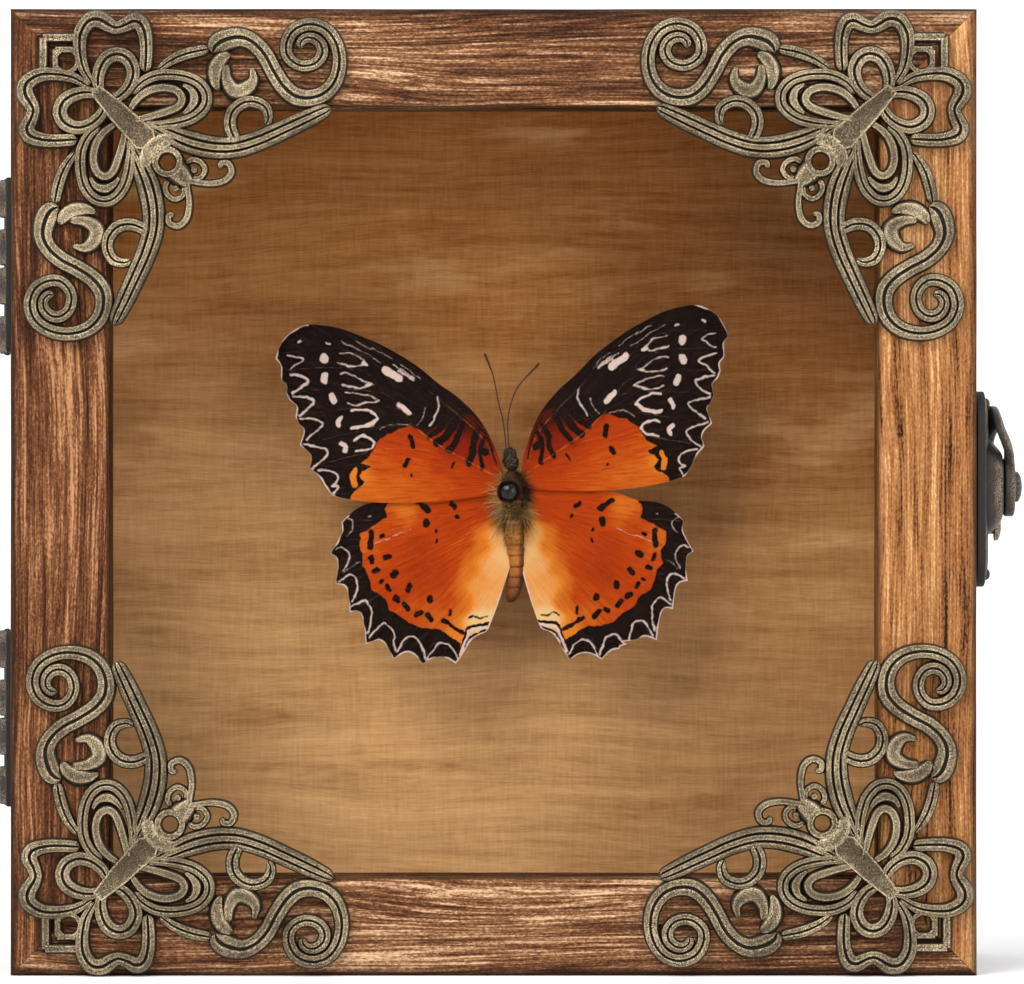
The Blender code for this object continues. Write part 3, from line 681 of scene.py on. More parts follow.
NUT_BAND = ((22.9, 22.9, 2.4), (24.2, 24.2, 2.3), (25.2, 25.2, 1.9), (25.9, 25.9, 1.2))
SHARP = ("bracket_outer", "bracket_inner")
NUT_RING = (22.1, 22.1, 2.1, 0.8, 0, 360)
BRACKET_RING = (4.9, 4.9, 1.95, 0.55)
EYE = (26.7, 23.5, 0.3, 0.3)
print(len(BANDS), "bands in half a casting")


# %% Sweeping a ridged section
BAND_STEP = 0.34
CASTING_BACK = corners("corner_top_left")[1][1]
CASTING_FRONT = corners("corner_top_left")[0][1]
CASTING_THICK = CASTING_BACK - CASTING_FRONT


def smooth_line(points, step):
    """Evenly spaced rows along a smooth curve through rows of numbers."""
    rows = np.array(points, float)
    padded = np.vstack([2 * rows[0] - rows[1], rows, 2 * rows[-1] - rows[-2]])
    made = []
    for a, b, c, d in zip(padded, padded[1:], padded[2:], padded[3:]):
        count = max(2, math.ceil(np.linalg.norm((c - b)[:2]) / step))
        for t in np.arange(count) / count:
            made.append(
                0.5 * (2 * b + (c - a) * t + (2 * a - 5 * b + 4 * c - d) * t**2
                       + (3 * b - a - 3 * c + d) * t**3)
            )
    return np.array(made + [rows[-1]])


def side_directions(line):
    """For each point the direction square to the line, longer where it turns a corner."""
    run = np.diff(line[:, :2], axis=0)
    run /= np.linalg.norm(run, axis=1)[:, None]
    square = np.stack([-run[:, 1], run[:, 0]], 1)
    first, last = np.vstack([square[:1], square]), np.vstack([square, square[-1:]])
    return (first + last) / np.maximum(1 + (first * last).sum(1), 0.5)[:, None]


def ridge_section(ridges, samples=9):
    """(across, height, crest) over a band: flat-topped ridges with narrow grooves between."""
    across = np.linspace(-1, 1, samples * ridges + 1 - (ridges - 1))
    wave = np.cos(math.pi * ridges * (across + 1) / 2) ** 2
    groove = wave**7
    dish = np.sin(math.pi * ridges * (across + 1) / 2) ** 2
    shoulder = np.abs(across) ** 7
    height = 1.0 - 0.46 * groove - 0.05 * dish - 0.34 * shoulder
    # The crest is lowered in the middle of each ridge and at the band's sides. This paints highlight
    # lines along the ridge edges, and the darker sides are partly patina and partly painted shade.
    return across, height, (1 - groove) * (1.0 - 0.28 * dish) * (1 - 0.45 * shoulder)


def sweep_band(line, ridges, thick, blunt=False):
    """A closed skin of (u, v, height, crest) rows along the band."""
    across, height, crest = ridge_section(ridges)
    directions = side_directions(line)
    steps = np.linalg.norm(np.diff(line[:, :2], axis=0), axis=1)
    gone = np.concatenate([[0], np.cumsum(steps)])
    end_distance = np.minimum(gone, gone[-1] - gone)
    reach = np.clip(end_distance / np.maximum(line[:, 2], 0.3), 0, 1)
    taper = np.ones(len(line)) if blunt else np.sqrt(np.clip(1 - (1 - reach) ** 2, 0.02, 1))
    rings = []
    for (u, v, half), side, round_off in zip(line, directions, taper):
        top = np.array([u, v]) + side * (across * half * round_off)[:, None]
        level = thick * height * (0.55 + 0.45 * round_off)
        ring = np.column_stack([top, level, crest])
        # The foot of each band gets a low crest, so the band's sides come out dark: partly patina left
        # in the hollow, partly painted shade around the casting.
        foot = ring[[-1, 0]].copy()
        foot[:, 2] = 0.0
        foot[:, 3] = 0.15
        rings.append(np.vstack([foot[1:], ring, foot[:1]]))
    return skin(rings)


def emboss(outline, thick, rim=0.35):
    """A flat plate with a rounded, raised rim: (u, v, height, crest) rows."""
    line = np.array(outline, float)
    closed = np.vstack([line[-1:], line, line[:1]])
    inward = side_directions(closed)[1:-1]
    area = 0.5 * np.sum(line[:, 0] * np.roll(line[:, 1], -1) - line[:, 1] * np.roll(line[:, 0], -1))
    inward *= np.sign(area)
    levels = ((0, 0.0, 0.15), (0, 0.75, 0.3), (0.35, 1.0, 0.85), (0.9, 1.0, 0.85), (1.5, 0.88, 0.66))
    rings = []
    for inset, height, crest in levels:
        spots = line + inward * inset * rim
        rings.append(np.column_stack([spots, np.full(len(line), height * thick),
                                      np.full(len(line), crest)]))
    return skin(rings)


def ring_line(u, v, radius, half, start=0, end=360):
    steps = max(16, round(abs(end - start) * radius / 20))
    turns = np.radians(np.linspace(start, end, steps))
    return np.column_stack([u + radius * np.cos(turns), v + radius * np.sin(turns),
                            np.full(steps, half)])


print("section points on a double band:", len(ridge_section(2)[0]))


# %% Castings
CASTING_INSET = HALF - 77.8
SHIFTS = {"top_left": (0.2, 0.5), "top_right": (-0.1, 0.6), "bottom_left": (0.6, -0.9),
          "bottom_right": (0.3, -0.7)}


def half_casting():
    """Skins of one half, as (points, faces) in the casting's own coordinates."""
    skins = []
    for number, (name, ridges, points) in enumerate(BANDS):
        thick = CASTING_THICK * (1 - 0.012 * (number + 1))
        if name in SHARP:
            line = dense([list(p) for p in points], 0.5, closed=False)
        else:
            line = smooth_line(points, BAND_STEP)
        skins.append(sweep_band(line, ridges, thick, name in SHARP))
    skins.append(sweep_band(ring_line(*EYE), 1, CASTING_THICK * 0.97, True))
    return skins


def join(skins):
    """Several (points, faces) as one."""
    points, faces, start = [], [], 0
    for more_points, more_faces in skins:
        points.append(more_points)
        faces += [tuple(start + i for i in face) for face in more_faces]
        start += len(more_points)
    return np.concatenate(points), faces


def nut_plate():
    """The plate between the nut and the feelers, started clear of the nut's hole."""
    plate = np.array(NUT_BAND)
    plate[0, :2] += 0.55
    return smooth_line(plate, BAND_STEP)


def whole_casting():
    skins = []
    for number, (points, faces) in enumerate(half_casting()):
        swapped = points[:, [1, 0, 2, 3]].copy()
        swapped[:, 2] *= 0.994
        skins += [(points, faces), (swapped, faces)]
    skins.append(emboss(BODY_PLATE, CASTING_THICK))
    skins.append(sweep_band(ring_line(*NUT_RING), 1, CASTING_THICK * 0.90, True))
    skins.append(sweep_band(nut_plate(), 1, CASTING_THICK * 0.84, True))
    skins.append(sweep_band(ring_line(*HEAD_BAND), 1, CASTING_THICK * 0.99))
    skins.append(sweep_band(ring_line(*BRACKET_RING), 1, CASTING_THICK * 0.9, True))
    return join(skins)


casting_points, casting_faces = whole_casting()
for row, up in (("top", 1), ("bottom", -1)):
    for column, side in (("left", -1), ("right", 1)):
        u, v = casting_points[:, 0], casting_points[:, 1]
        slip = SHIFTS[f"{row}_{column}"]
        x = side * (HALF - CASTING_INSET - u) + slip[0]
        z = HALF + up * (HALF - CASTING_INSET - v) + slip[1]
        y = CASTING_BACK - casting_points[:, 2]
        node = f"corner_{row}_{column}"
        make_piece(node + "_casting", np.stack([x, y, z], 1), casting_faces, antique_brass, "lid",
                   [node], {"crest": casting_points[:, 3]}, 50)
print("each casting has", len(casting_faces), "faces")


# %% [markdown]
# ## Hinges
#
# Two small butt hinges sit on the left side. Each leaf is a stamped plate with a rolled edge, and its
# rolls are the knuckles that turn on the pin. A lathe-like helper makes everything round: knuckles,
# pins and brads are all a profile turned about a line. The plates come from a second helper that
# stacks the same outline at several heights, each a little smaller, as a stamp would press it.

# %% Turned and stamped metal
def turned(profile, place, axis, steps=32, crest=None):
    """Rings of (distance along the axis, radius) pairs about a line through `place`."""
    angles = 2 * math.pi * np.arange(steps) / steps
    rings = []
    for number, (along, radius) in enumerate(profile):
        a, b = radius * np.cos(angles), radius * np.sin(angles)
        flat = np.full(steps, along)
        column = {"X": (flat, a, b), "Z": (a, b, flat)}[axis]
        level = np.full(steps, 0.8 if crest is None else crest[number])
        rings.append(np.column_stack([np.stack(column, 1) + np.array(place), level]))
    return skin(rings)


def rounded_outline(low, high, radius, steps=5):
    """Anticlockwise corners of a rectangle with rounded corners."""
    made = []
    for corner, (a, b) in enumerate(((1, 1), (0, 1), (0, 0), (1, 0))):
        centre = (
            high[0] - radius if a else low[0] + radius,
            high[1] - radius if b else low[1] + radius,
        )
        made += arc(centre, radius, 90 * corner, 90 * corner + 90, steps)
    return made


def stamped(outline, levels, out=1):
    """A plate on a side of the box: its (y, z) outline at each (inset, x, crest) level."""
    line = np.array(outline, float)
    inward = side_directions(np.vstack([line[-1:], line, line[:1]]))[1:-1]
    rings = []
    for inset, x, crest in levels:
        spots = line + inward * inset
        rings.append(np.column_stack([np.full(len(line), out * x), spots,
                                      np.full(len(line), crest)]))
    return skin(rings)


def stamped_rectangle(low, high, radius, levels, out=1):
    """The same for a rectangle, whose corners tighten as the outline moves in."""
    rings = []
    for inset, x, crest in levels:
        spots = rounded_outline((low[0] + inset, low[1] + inset), (high[0] - inset, high[1] - inset),
                                max(radius - inset, 0.05))
        rings.append(np.column_stack([np.full(len(spots), out * x), np.array(spots),
                                      np.full(len(spots), crest)]))
    return skin(rings)


def metal_piece(name, skins, finish, body, nodes, smooth=35):
    points, faces = join(skins)
    return make_piece(name, points[:, :3], faces, finish, body, nodes,
                      {"crest": points[:, 3]}, smooth)


def brad(node, body, out, deep):
    """A round-headed brad in place of its solid, standing out along X."""
    low, high = corners(node)
    centre = (low + high) / 2
    tip, top = (low[0], high[0]) if out > 0 else (high[0], low[0])
    head = (high[1] - low[1]) / 2
    rise = abs(top - tip) - deep
    profile = [(tip, 0.28), (tip + out * 0.3, 0.45), (top - out * rise, 0.45)]
    for turn in np.radians(np.linspace(0, 84, 7)):
        profile.append((top - out * rise * (1 - math.sin(turn)), head * math.cos(turn)))
    crest = [0, 0, 0] + list(np.linspace(0.25, 1.0, 7))
    skins = [turned(profile, (0, centre[1], centre[2]), "X", 20, crest)]
    return metal_piece(node + "_head", skins, antique_brass, body, [node])


print("helpers for round and stamped metal are ready")


# %% Hinge leaves, pins and brads
HINGE = {joint["name"]: joint for joint in frame["joints"]}["lid_hinge"]
AXIS_X, AXIS_Y = (value / MM for value in HINGE["pos_m"][:2])
BARREL_R = AXIS_X - corners("hinge_upper_lid_leaf")[0][0]
LEAF_OUT = -AXIS_X - BARREL_R + 0.8
KNUCKLES = {"base": ((0.0, 6.5), (23.5, 30.0)), "lid": ((8.5, 14.9), (15.25, 21.5))}


def knuckle(low, high):
    """A rolled knuckle with eased ends and a seam where the sheet meets the leaf."""
    ease = 0.22
    profile = [
        (low, BARREL_R * 0.62), (low, BARREL_R - ease), (low + ease, BARREL_R),
        (low + 0.5 * (high - low), BARREL_R * 0.985),
        (high - ease, BARREL_R), (high, BARREL_R - ease), (high, BARREL_R * 0.62),
    ]
    crest = [0, 0.35, 1, 0.75, 1, 0.35, 0]
    return turned(profile, (AXIS_X, AXIS_Y, 0), "Z", 36, crest)


def hinge_leaf(node, owner, toward):
    low, high = corners(node)
    near = AXIS_Y + toward * (BARREL_R - 0.5)
    far = high[1] if toward > 0 else low[1]
    span = sorted((near, far))
    seat = -high[0]
    levels = (
        (0.0, seat, 0), (0.0, LEAF_OUT - 0.18, 0.2), (0.18, LEAF_OUT, 1), (0.75, LEAF_OUT, 0.9),
        (0.95, LEAF_OUT - 0.16, 0.1), (1.25, LEAF_OUT - 0.16, 0.1), (1.45, LEAF_OUT - 0.02, 0.9),
        (2.4, LEAF_OUT - 0.02, 0.72),
    )
    skins = [stamped_rectangle((span[0], low[2]), (span[1], high[2]), 1.2, levels, -1)]
    skins += [knuckle(low[2] + start, low[2] + end) for start, end in KNUCKLES[owner]]
    body = "lid" if owner == "lid" else "case"
    metal_piece(node + "_stamped", skins, dark_bronze, body, [node])
    for end in ("low", "high"):
        brad(f"{node[:-5]}_brad_{end}", body, -1, 0.7)


for place in ("upper", "lower"):
    hinge_leaf(f"hinge_{place}_lid_leaf", "lid", -1)
    hinge_leaf(f"hinge_{place}_base_leaf", "base", 1)
    low, high = corners(f"hinge_{place}_pin")
    radius = (high[0] - low[0]) / 2
    profile = [(low[2], radius * 0.5), (low[2] + 0.15, radius * 0.9), (low[2] + 0.4, radius),
               (high[2] - 0.4, radius), (high[2] - 0.15, radius * 0.9), (high[2], radius * 0.5)]
    metal_piece(f"hinge_{place}_pin_turned", [turned(profile, (AXIS_X, AXIS_Y, 0), "Z", 20)],
                dark_bronze, "case", [f"hinge_{place}_pin"])


# %% [markdown]
# ## Swing catch
#
# On the right a hook turns on a rivet through an oval plate of the lid, and drops behind a headed
# stud on the base. The plates are long ovals with a beaded rim. The hook is one strip of bronze that
# starts as a round eye under the rivet, swings out over the plate's boss and curls back down to its
# bill. Its section is rounded, so it is swept as rings through stations round the rivet.

# %% Catch plates and brads
PIVOT = {joint["name"]: joint for joint in frame["joints"]}["hook_pivot"]["pos_m"]
PIVOT_X, PIVOT_Y, PIVOT_Z = (value / MM for value in PIVOT)


def oval(half_y, half_z, y, z, steps=14):
    """Half-round ends on a straight middle, anticlockwise, flattened where it isn't tall."""
    straight = max(half_z - half_y, 0)
    squeeze = min(half_z / half_y, 1)
    made = []
    for end, start in ((1, 0), (-1, 180)):
        for turn in np.radians(np.linspace(start, start + 180, steps)):
            made.append((y + half_y * math.cos(turn),
                         z + half_y * squeeze * math.sin(turn) + end * straight))
    return made


def oval_levels(y, z, levels):
    """Rings of an oval plate: (half y, half z, x, crest) at each level."""
    rings = []
    for half_y, half_z, x, crest in levels:
        line = np.array(oval(half_y, half_z, y, z))
        rings.append(np.column_stack([np.full(len(line), x), line, np.full(len(line), crest)]))
    return skin(rings)


low, high = corners("catch_lid_plate")
seat, tall, middle_z = low[0], (high[2] - low[2]) / 2, (high[2] + low[2]) / 2
wide = (high[1] - low[1]) / 2
lid_plate = oval_levels(PIVOT_Y, middle_z, (
    (wide, tall, seat, 0), (wide, tall, HALF + 1.35, 0.2), (wide - 0.15, tall - 0.15, HALF + 1.6, 1),
    (wide - 0.6, tall - 0.6, HALF + 1.75, 0.9), (wide - 0.8, tall - 0.8, HALF + 1.5, 0.05),
    (wide - 1.1, tall - 1.1, HALF + 1.5, 0.1), (wide - 1.4, tall - 1.4, HALF + 1.95, 0.9),
    (wide - 2.6, tall - 2.8, HALF + 2.15, 0.7),
))
lid_boss = oval_levels(PIVOT_Y, PIVOT_Z, (
    (5.0, 8.9, HALF + 1.7, 0), (4.9, 8.3, HALF + 2.3, 0.5), (4.85, 7.4, HALF + 3.3, 0.85),
    (4.7, 6.3, HALF + 4.3, 1.0), (4.4, 5.6, HALF + 4.7, 1.0), (4.0, 5.0, HALF + 4.8, 0.8),
    (2.5, 2.5, HALF + 4.8, 0.3), (1.0, 1.0, HALF + 4.8, 0.1),
))
metal_piece("catch_lid_plate_stamped", [lid_plate, lid_boss], dark_bronze, "lid",
            ["catch_lid_plate"])
low, high = corners("catch_base_plate")
base_y, wide = (low[1] + high[1]) / 2, (high[1] - low[1]) / 2
base_plate = oval_levels(base_y, middle_z, (
    (wide, tall, seat, 0), (wide, tall, HALF + 0.95, 0.2), (wide - 0.15, tall - 0.15, HALF + 1.2, 1),
    (wide - 0.6, tall - 0.6, HALF + 1.35, 0.9), (wide - 0.8, tall - 0.8, HALF + 1.1, 0.05),
    (wide - 1.1, tall - 1.1, HALF + 1.1, 0.1), (wide - 1.4, tall - 1.4, HALF + 1.5, 0.9),
    (wide - 2.6, tall - 2.8, HALF + 1.6, 0.7),
))
metal_piece("catch_base_plate_stamped", [base_plate], dark_bronze, "case",
            ["catch_base_plate"])
for owner, body in (("lid", "lid"), ("base", "case")):
    for end in ("low", "high"):
        brad(f"catch_{owner}_brad_{end}", body, 1, 0.9)
print("catch plates at x", round(seat, 2), "pivot at", round(PIVOT_Y, 1), round(PIVOT_Z, 1))


# %% Rivet, stud and hook
def domed(start, head_low, head_high, shank, head, collar=()):
    """A shank with a domed head: (x, radius) pairs."""
    profile = [(start, shank * 0.7), (start + 0.2, shank), *collar, (head_low, shank)]
    for turn in np.radians((0, 12, 26, 42, 58, 72, 84)):
        rise = 0.35 + (head_high - head_low - 0.35) * math.sin(turn)
        profile.append((head_low + (0.0 if turn == 0 else rise), head * math.cos(turn)))
    return profile


low, high = corners("catch_rivet")
profile = domed(low[0], HALF + 6.85, high[0], 1.0, (high[1] - low[1]) / 2)
metal_piece("catch_rivet_turned", [turned(profile, (0, PIVOT_Y, PIVOT_Z), "X", 36)],
            dark_bronze, "lid", ["catch_rivet"])
low, high = corners("catch_stud")
stud_y, stud_z = (low[1] + high[1]) / 2, (low[2] + high[2]) / 2
collar = ((HALF + 1.8, 1.0), (HALF + 1.8, 2.1), (HALF + 2.2, 1.95), (HALF + 2.4, 1.4))
profile = domed(low[0], HALF + 4.6, high[0], 1.4, 2.6, collar)
metal_piece("catch_stud_turned", [turned(profile, (0, stud_y, stud_z), "X", 36)],
            antique_brass, "case", ["catch_stud"])

# (outer radius, outer angle, inner radius, inner angle) about the rivet, with the hook latched
HOOK_STATIONS = (
    (3.2, 128, 3.2, 40), (6.0, 108, 5.6, 62), (8.6, 104, 7.6, 76), (11.2, 95, 8.9, 75),
    (12.6, 80, 9.8, 62), (13.6, 63, 10.6, 44), (15.2, 44, 11.9, 26), (17.4, 25, 13.2, 10),
    (19.4, 8, 13.9, -5), (20.6, -6, 13.8, -17), (20.8, -14, 15.4, -18.6),
    (20.7, -20, 17.9, -19.5), (20.2, -27, 17.9, -28), (19.4, -33, 18.3, -34),
)
HOOK_LIFT = 22.0
HOOK_THICK = 1.6
HUB_R = 5.1
HOOK_SECTION = ((0.0, 0.22), (0.06, 0.05), (0.2, 0.0), (0.8, 0.0), (0.94, 0.05), (1.0, 0.22),
                (1.0, 0.78), (0.94, 0.95), (0.8, 1.0), (0.5, 0.93), (0.2, 1.0), (0.06, 0.95),
                (0.0, 0.78))


def hook_level(radius):
    t = min(max((radius - 5.5) / 8.0, 0), 1)
    return 5.05 - (5.05 - 2.75) * t * t * (3 - 2 * t)


def hook_strip():
    flat = []
    for outer_r, outer_a, inner_r, inner_a in HOOK_STATIONS:
        outer, inner = math.radians(outer_a), math.radians(inner_a)
        flat.append((outer_r * math.cos(outer), outer_r * math.sin(outer),
                     inner_r * math.cos(inner), inner_r * math.sin(inner)))
    rings = []
    for ay, az, by, bz in smooth_line(flat, 0.5):
        ring = []
        for across, up in HOOK_SECTION:
            y, z = ay + (by - ay) * across, az + (bz - az) * across
            x = HALF + hook_level(math.hypot(y, z)) + up * HOOK_THICK
            ring.append((x, PIVOT_Y + y, PIVOT_Z + z, 0.25 + 0.75 * (up > 0.6)))
        rings.append(np.array(ring))
    return skin(rings)


hub_low = HALF + 5.05
hub = turned([(hub_low, 1.1), (hub_low, HUB_R - 0.2), (hub_low + 0.2, HUB_R),
              (hub_low + 1.4, HUB_R), (hub_low + 1.66, HUB_R - 0.25), (hub_low + 1.7, HUB_R - 1.0),
              (hub_low + 1.5, HUB_R - 1.3), (hub_low + 1.5, 1.1)],
             (0, PIVOT_Y, PIVOT_Z), "X", 48, (0, 0.2, 0.6, 0.9, 1, 0.9, 0.1, 0.5))
hook = metal_piece("catch_hook_forged", [hook_strip(), hub], dark_bronze, "hook",
                   ["catch_hook"])
lift = Matrix.Rotation(math.radians(HOOK_LIFT), 4, "X")
pivot = Vector(PIVOT)
hook.data.transform(Matrix.Translation(pivot) @ lift @ Matrix.Translation(-pivot))
print("hook spans", [round(v * 1000, 1) for v in hook.dimensions])


# %% [markdown]
# ## Wing patterns
#
# A butterfly's wing is a membrane covered in coloured scales, and each mark is a patch of scales of
# one colour. Painting it as an image would fix its sharpness, so the marks are drawn as shapes
# instead: strokes, spots and areas in millimetres from the specimen's middle. For each point of a
# finely divided wing a few lines of arithmetic say how deep inside or how far outside the nearest
# mark it is. The finish cuts that number off at zero and roughens the edge with noise, as scales do.
# The left wings are drawn, and the right ones are the same drawing set at their own angle.

# %% Forewing drawing
FORE_OUTLINE = (
    ((-0.6, 0.2), (-0.9, 3.0), (-2.1, 7.0), (-4.9, 12.4), (-8.6, 16.3), (-12.3, 19.0), (-16.4, 22.3),
     (-21.8, 25.5), (-25.6, 27.2), (-29.3, 28.6), (-32.6, 29.2), (-35.4, 29.3), (-37.6, 28.4),
     (-39.3, 27.0), (-40.3, 25.2), (-40.95, 23.4)),
    ((-40.95, 23.4), (-40.0, 22.2), (-39.95, 20.9)),
    ((-39.95, 20.9), (-39.8, 19.6), (-38.95, 18.7), (-39.0, 17.3)),
    ((-39.0, 17.3), (-38.3, 16.0), (-37.2, 15.1), (-37.4, 13.2)),
    ((-37.4, 13.2), (-36.7, 11.9), (-35.9, 10.8), (-36.65, 8.2)),
    ((-36.65, 8.2), (-35.2, 7.1), (-34.55, 5.9), (-34.9, 4.3)),
    ((-34.9, 4.3), (-33.2, 2.7), (-32.1, 0.9), (-30.9, -0.6)),
    ((-30.9, -0.6), (-27.2, -1.4), (-21.5, -1.9), (-13.5, -1.7), (-6.0, -0.9), (-0.6, 0.2)),
)
FORE_INK_AREA = (
    (-6.6, 45.0), (-6.0, 13.6), (-7.6, 13.5), (-9.0, 13.9), (-11.0, 12.9), (-13.0, 11.4),
    (-14.6, 10.0), (-17.2, 11.9), (-20.0, 10.7), (-22.4, 9.4), (-23.4, 8.0), (-24.3, 6.4),
    (-26.0, 5.2), (-24.2, 4.3), (-25.6, 3.4), (-26.2, 2.7), (-25.2, 1.6), (-26.4, 0.4),
    (-27.6, -0.4), (-28.3, -3.0), (-50.0, -3.0), (-50.0, 45.0),
)
FORE_INK = (
    (0.50, (-10.2, 13.6), (-11.7, 11.6), (-13.9, 9.7)),
    (0.62, (-8.6, 13.6), (-10.3, 11.0), (-11.2, 9.6), (-12.5, 8.5)),
    (0.50, (-7.9, 12.4), (-8.6, 10.6), (-9.6, 8.6), (-10.4, 7.4)),
    (0.48, (-5.6, 10.6), (-6.3, 8.6), (-6.4, 6.8), (-7.0, 5.0)),
    (0.34, (-4.4, 9.4), (-5.1, 7.4), (-4.9, 5.6), (-4.7, 4.1)),
    (0.55, (-4.7, 7.3), (-3.9, 7.0)), (0.30, (-6.6, 8.6), (-5.6, 9.6)),
    (0.42, (-17.2, 9.6), (-16.8, 7.9)),
    (0.38, (-17.7, 5.5), (-18.2, 4.6)),
    (0.16, (-16.95, 2.8), (-17.0, 2.6)),
    (0.15, (-9.5, 5.2), (-10.0, 4.2)),
    (0.16, (-3.0, 9.4), (-4.9, 12.4), (-8.6, 16.3)), (0.10, (-2.3, 5.0), (-3.6, 9.0), (-6.0, 12.6)),
)
FORE_CHALK = (
    (0.15, (-38.8, 24.0), (-37.2, 23.8), (-36.0, 23.3), (-37.0, 22.4), (-38.4, 21.6)),
    (0.19, (-38.4, 20.6), (-36.3, 20.2), (-35.2, 19.5), (-36.2, 18.5), (-37.9, 17.2)),
    (0.18, (-37.8, 16.7), (-35.4, 16.5), (-34.1, 15.9), (-34.8, 14.9), (-36.6, 13.4)),
    (0.16, (-36.6, 12.9), (-34.0, 12.6), (-32.6, 12.0), (-33.6, 10.8), (-35.4, 9.0)),
    (0.18, (-35.8, 8.3), (-33.3, 7.9), (-31.8, 7.2), (-32.5, 5.6), (-34.3, 4.2)),
    (0.17, (-33.4, 3.8), (-31.2, 3.5), (-29.9, 2.7), (-30.2, 1.7), (-31.0, 1.3), (-29.9, 1.1),
     (-30.6, -0.2)),
    (0.20, (-31.9, 26.1), (-31.4, 26.1)), (0.22, (-36.9, 26.3), (-36.4, 26.5)),
    (0.72, (-32.5, 23.5), (-32.3, 23.2)), (0.62, (-32.25, 20.3), (-32.2, 19.5)),
    (0.58, (-31.1, 16.8), (-30.7, 16.0)),
    (0.42, (-29.35, 13.1), (-29.7, 12.6), (-29.8, 11.8)),
    (0.45, (-29.3, 8.4), (-28.5, 7.9), (-28.8, 7.2)),
    (0.12, (-29.7, 24.5), (-27.8, 24.3), (-26.3, 23.5), (-25.0, 22.4)),
    (0.14, (-25.0, 22.4), (-26.8, 21.9), (-28.5, 22.1), (-29.8, 22.6)),
    (0.28, (-25.7, 22.5), (-24.9, 22.2)),
    (0.12, (-29.6, 20.6), (-28.4, 20.8), (-26.4, 20.1), (-24.6, 19.2), (-23.5, 18.8)),
    (0.14, (-23.8, 18.8), (-25.1, 18.5), (-27.1, 18.3), (-29.1, 18.6)),
    (0.22, (-25.0, 18.8), (-24.0, 18.8)),
    (0.13, (-28.6, 17.3), (-26.8, 17.3), (-24.3, 16.7), (-22.8, 16.1)),
    (0.15, (-22.8, 16.0), (-25.1, 15.5), (-27.0, 15.2), (-28.2, 15.6)),
    (0.22, (-27.6, 14.2), (-26.0, 14.4), (-23.9, 13.8), (-22.9, 12.9)),
    (0.34, (-22.9, 12.9), (-24.0, 11.9), (-25.8, 11.3), (-27.6, 11.2)),
    (0.24, (-27.0, 9.2), (-26.0, 9.7), (-24.2, 9.4), (-23.4, 8.6)),
    (0.20, (-23.4, 8.6), (-24.3, 7.5), (-25.5, 7.4), (-26.7, 7.1)),
    (0.70, (-21.7, 21.4), (-20.4, 20.6), (-19.2, 19.9)),
    (0.11, (-20.4, 22.3), (-18.6, 21.2), (-16.6, 20.0)),
    (0.16, (-19.4, 21.2), (-17.9, 20.4), (-16.6, 19.7)),
    (0.07, (-19.0, 22.3), (-17.4, 21.3), (-15.6, 19.9)),
    (0.42, (-19.2, 15.3), (-18.3, 14.6), (-17.5, 13.8)),
    (0.15, (-12.6, 16.5), (-12.3, 14.9), (-13.1, 13.0), (-13.9, 11.6)),
    (0.08, (-14.6, 14.6), (-15.3, 12.7), (-16.0, 11.7)),
    (0.06, (-29.4, 26.4), (-26.4, 25.0), (-22.6, 22.9)),
    (0.05, (-27.0, 26.4), (-24.0, 25.0)), (0.05, (-24.2, 25.4), (-20.6, 23.4)),
    (0.06, (-22.6, 10.8), (-20.4, 11.9), (-17.6, 11.8)),
)
FORE_GAPS = (
    (0.45, (-26.9, 3.9), (-27.4, 2.7)), (0.55, (-27.3, 2.4), (-27.0, 1.2)),
)
FORE_VEINS = (
    (0.13, (-1.6, 2.3), (-7.0, 5.3), (-12.4, 8.3), (-17.2, 11.9)),
    (0.07, (-17.2, 11.9), (-24.0, 11.0), (-36.4, 8.3)),
    (0.10, (-12.5, 7.1), (-17.5, 7.5), (-23.0, 7.3), (-34.7, 4.4)),
    (0.06, (-17.4, 12.2), (-19.2, 14.4), (-25.0, 14.9), (-37.1, 13.4)),
    (0.07, (-19.2, 14.4), (-22.0, 17.2), (-30.0, 18.0), (-38.8, 17.5)),
    (0.07, (-22.0, 17.2), (-25.2, 21.0), (-32.0, 21.8), (-39.7, 21.2)),
    (0.06, (-20.4, 19.0), (-25.0, 23.6), (-31.0, 25.0), (-40.0, 24.3)),
    (0.06, (-8.0, 1.0), (-15.0, 1.5), (-21.5, 1.5), (-30.0, 0.6)),
    (0.05, (-3.0, 1.2), (-12.0, 0.2), (-22.0, -0.3)),
    (0.10, (-2.2, 4.6), (-4.6, 9.4), (-8.8, 13.4), (-14.0, 17.6)),
    (0.05, (-4.0, 2.0), (-10.0, 3.8), (-14.8, 5.2)),
)
# (x, z, warmth): below 0 is scorched, 0 is red, 1 is orange, 2 is amber and 3 is cream
FORE_WARMTH = (
    (-4.5, 5.5, 0.35), (-8.0, 8.0, 0.05), (-12.0, 10.0, 0.1), (-9.6, 12.2, -1.0), (-7.2, 11.4, -1.0),
    (-5.4, 9.4, -0.55), (-3.6, 6.4, 0.05), (-7.4, 14.0, -1.0), (-5.0, 11.6, -0.9),
    (-3.4, 8.8, -0.6), (-1.9, 5.4, 0.35), (-1.2, 3.4, 0.5), (-12.6, 12.6, -1.0),
    (-4.5, 2.5, 0.7), (-9.0, 4.0, 0.75), (-14.5, 8.0, 0.85), (-19.5, 9.0, 0.8), (-22.0, 5.0, 1.15),
    (-16.0, 4.0, 1.15), (-11.0, 1.0, 1.1), (-20.0, 0.5, 1.35), (-25.0, -1.0, 1.4), (-6.0, -0.5, 1.0),
    (-27.0, 2.5, 1.9), (-15.0, -1.0, 1.25), (-2.0, 1.5, 1.2),
)
print("forewing:", len(FORE_INK), "dark and", len(FORE_CHALK), "white strokes")

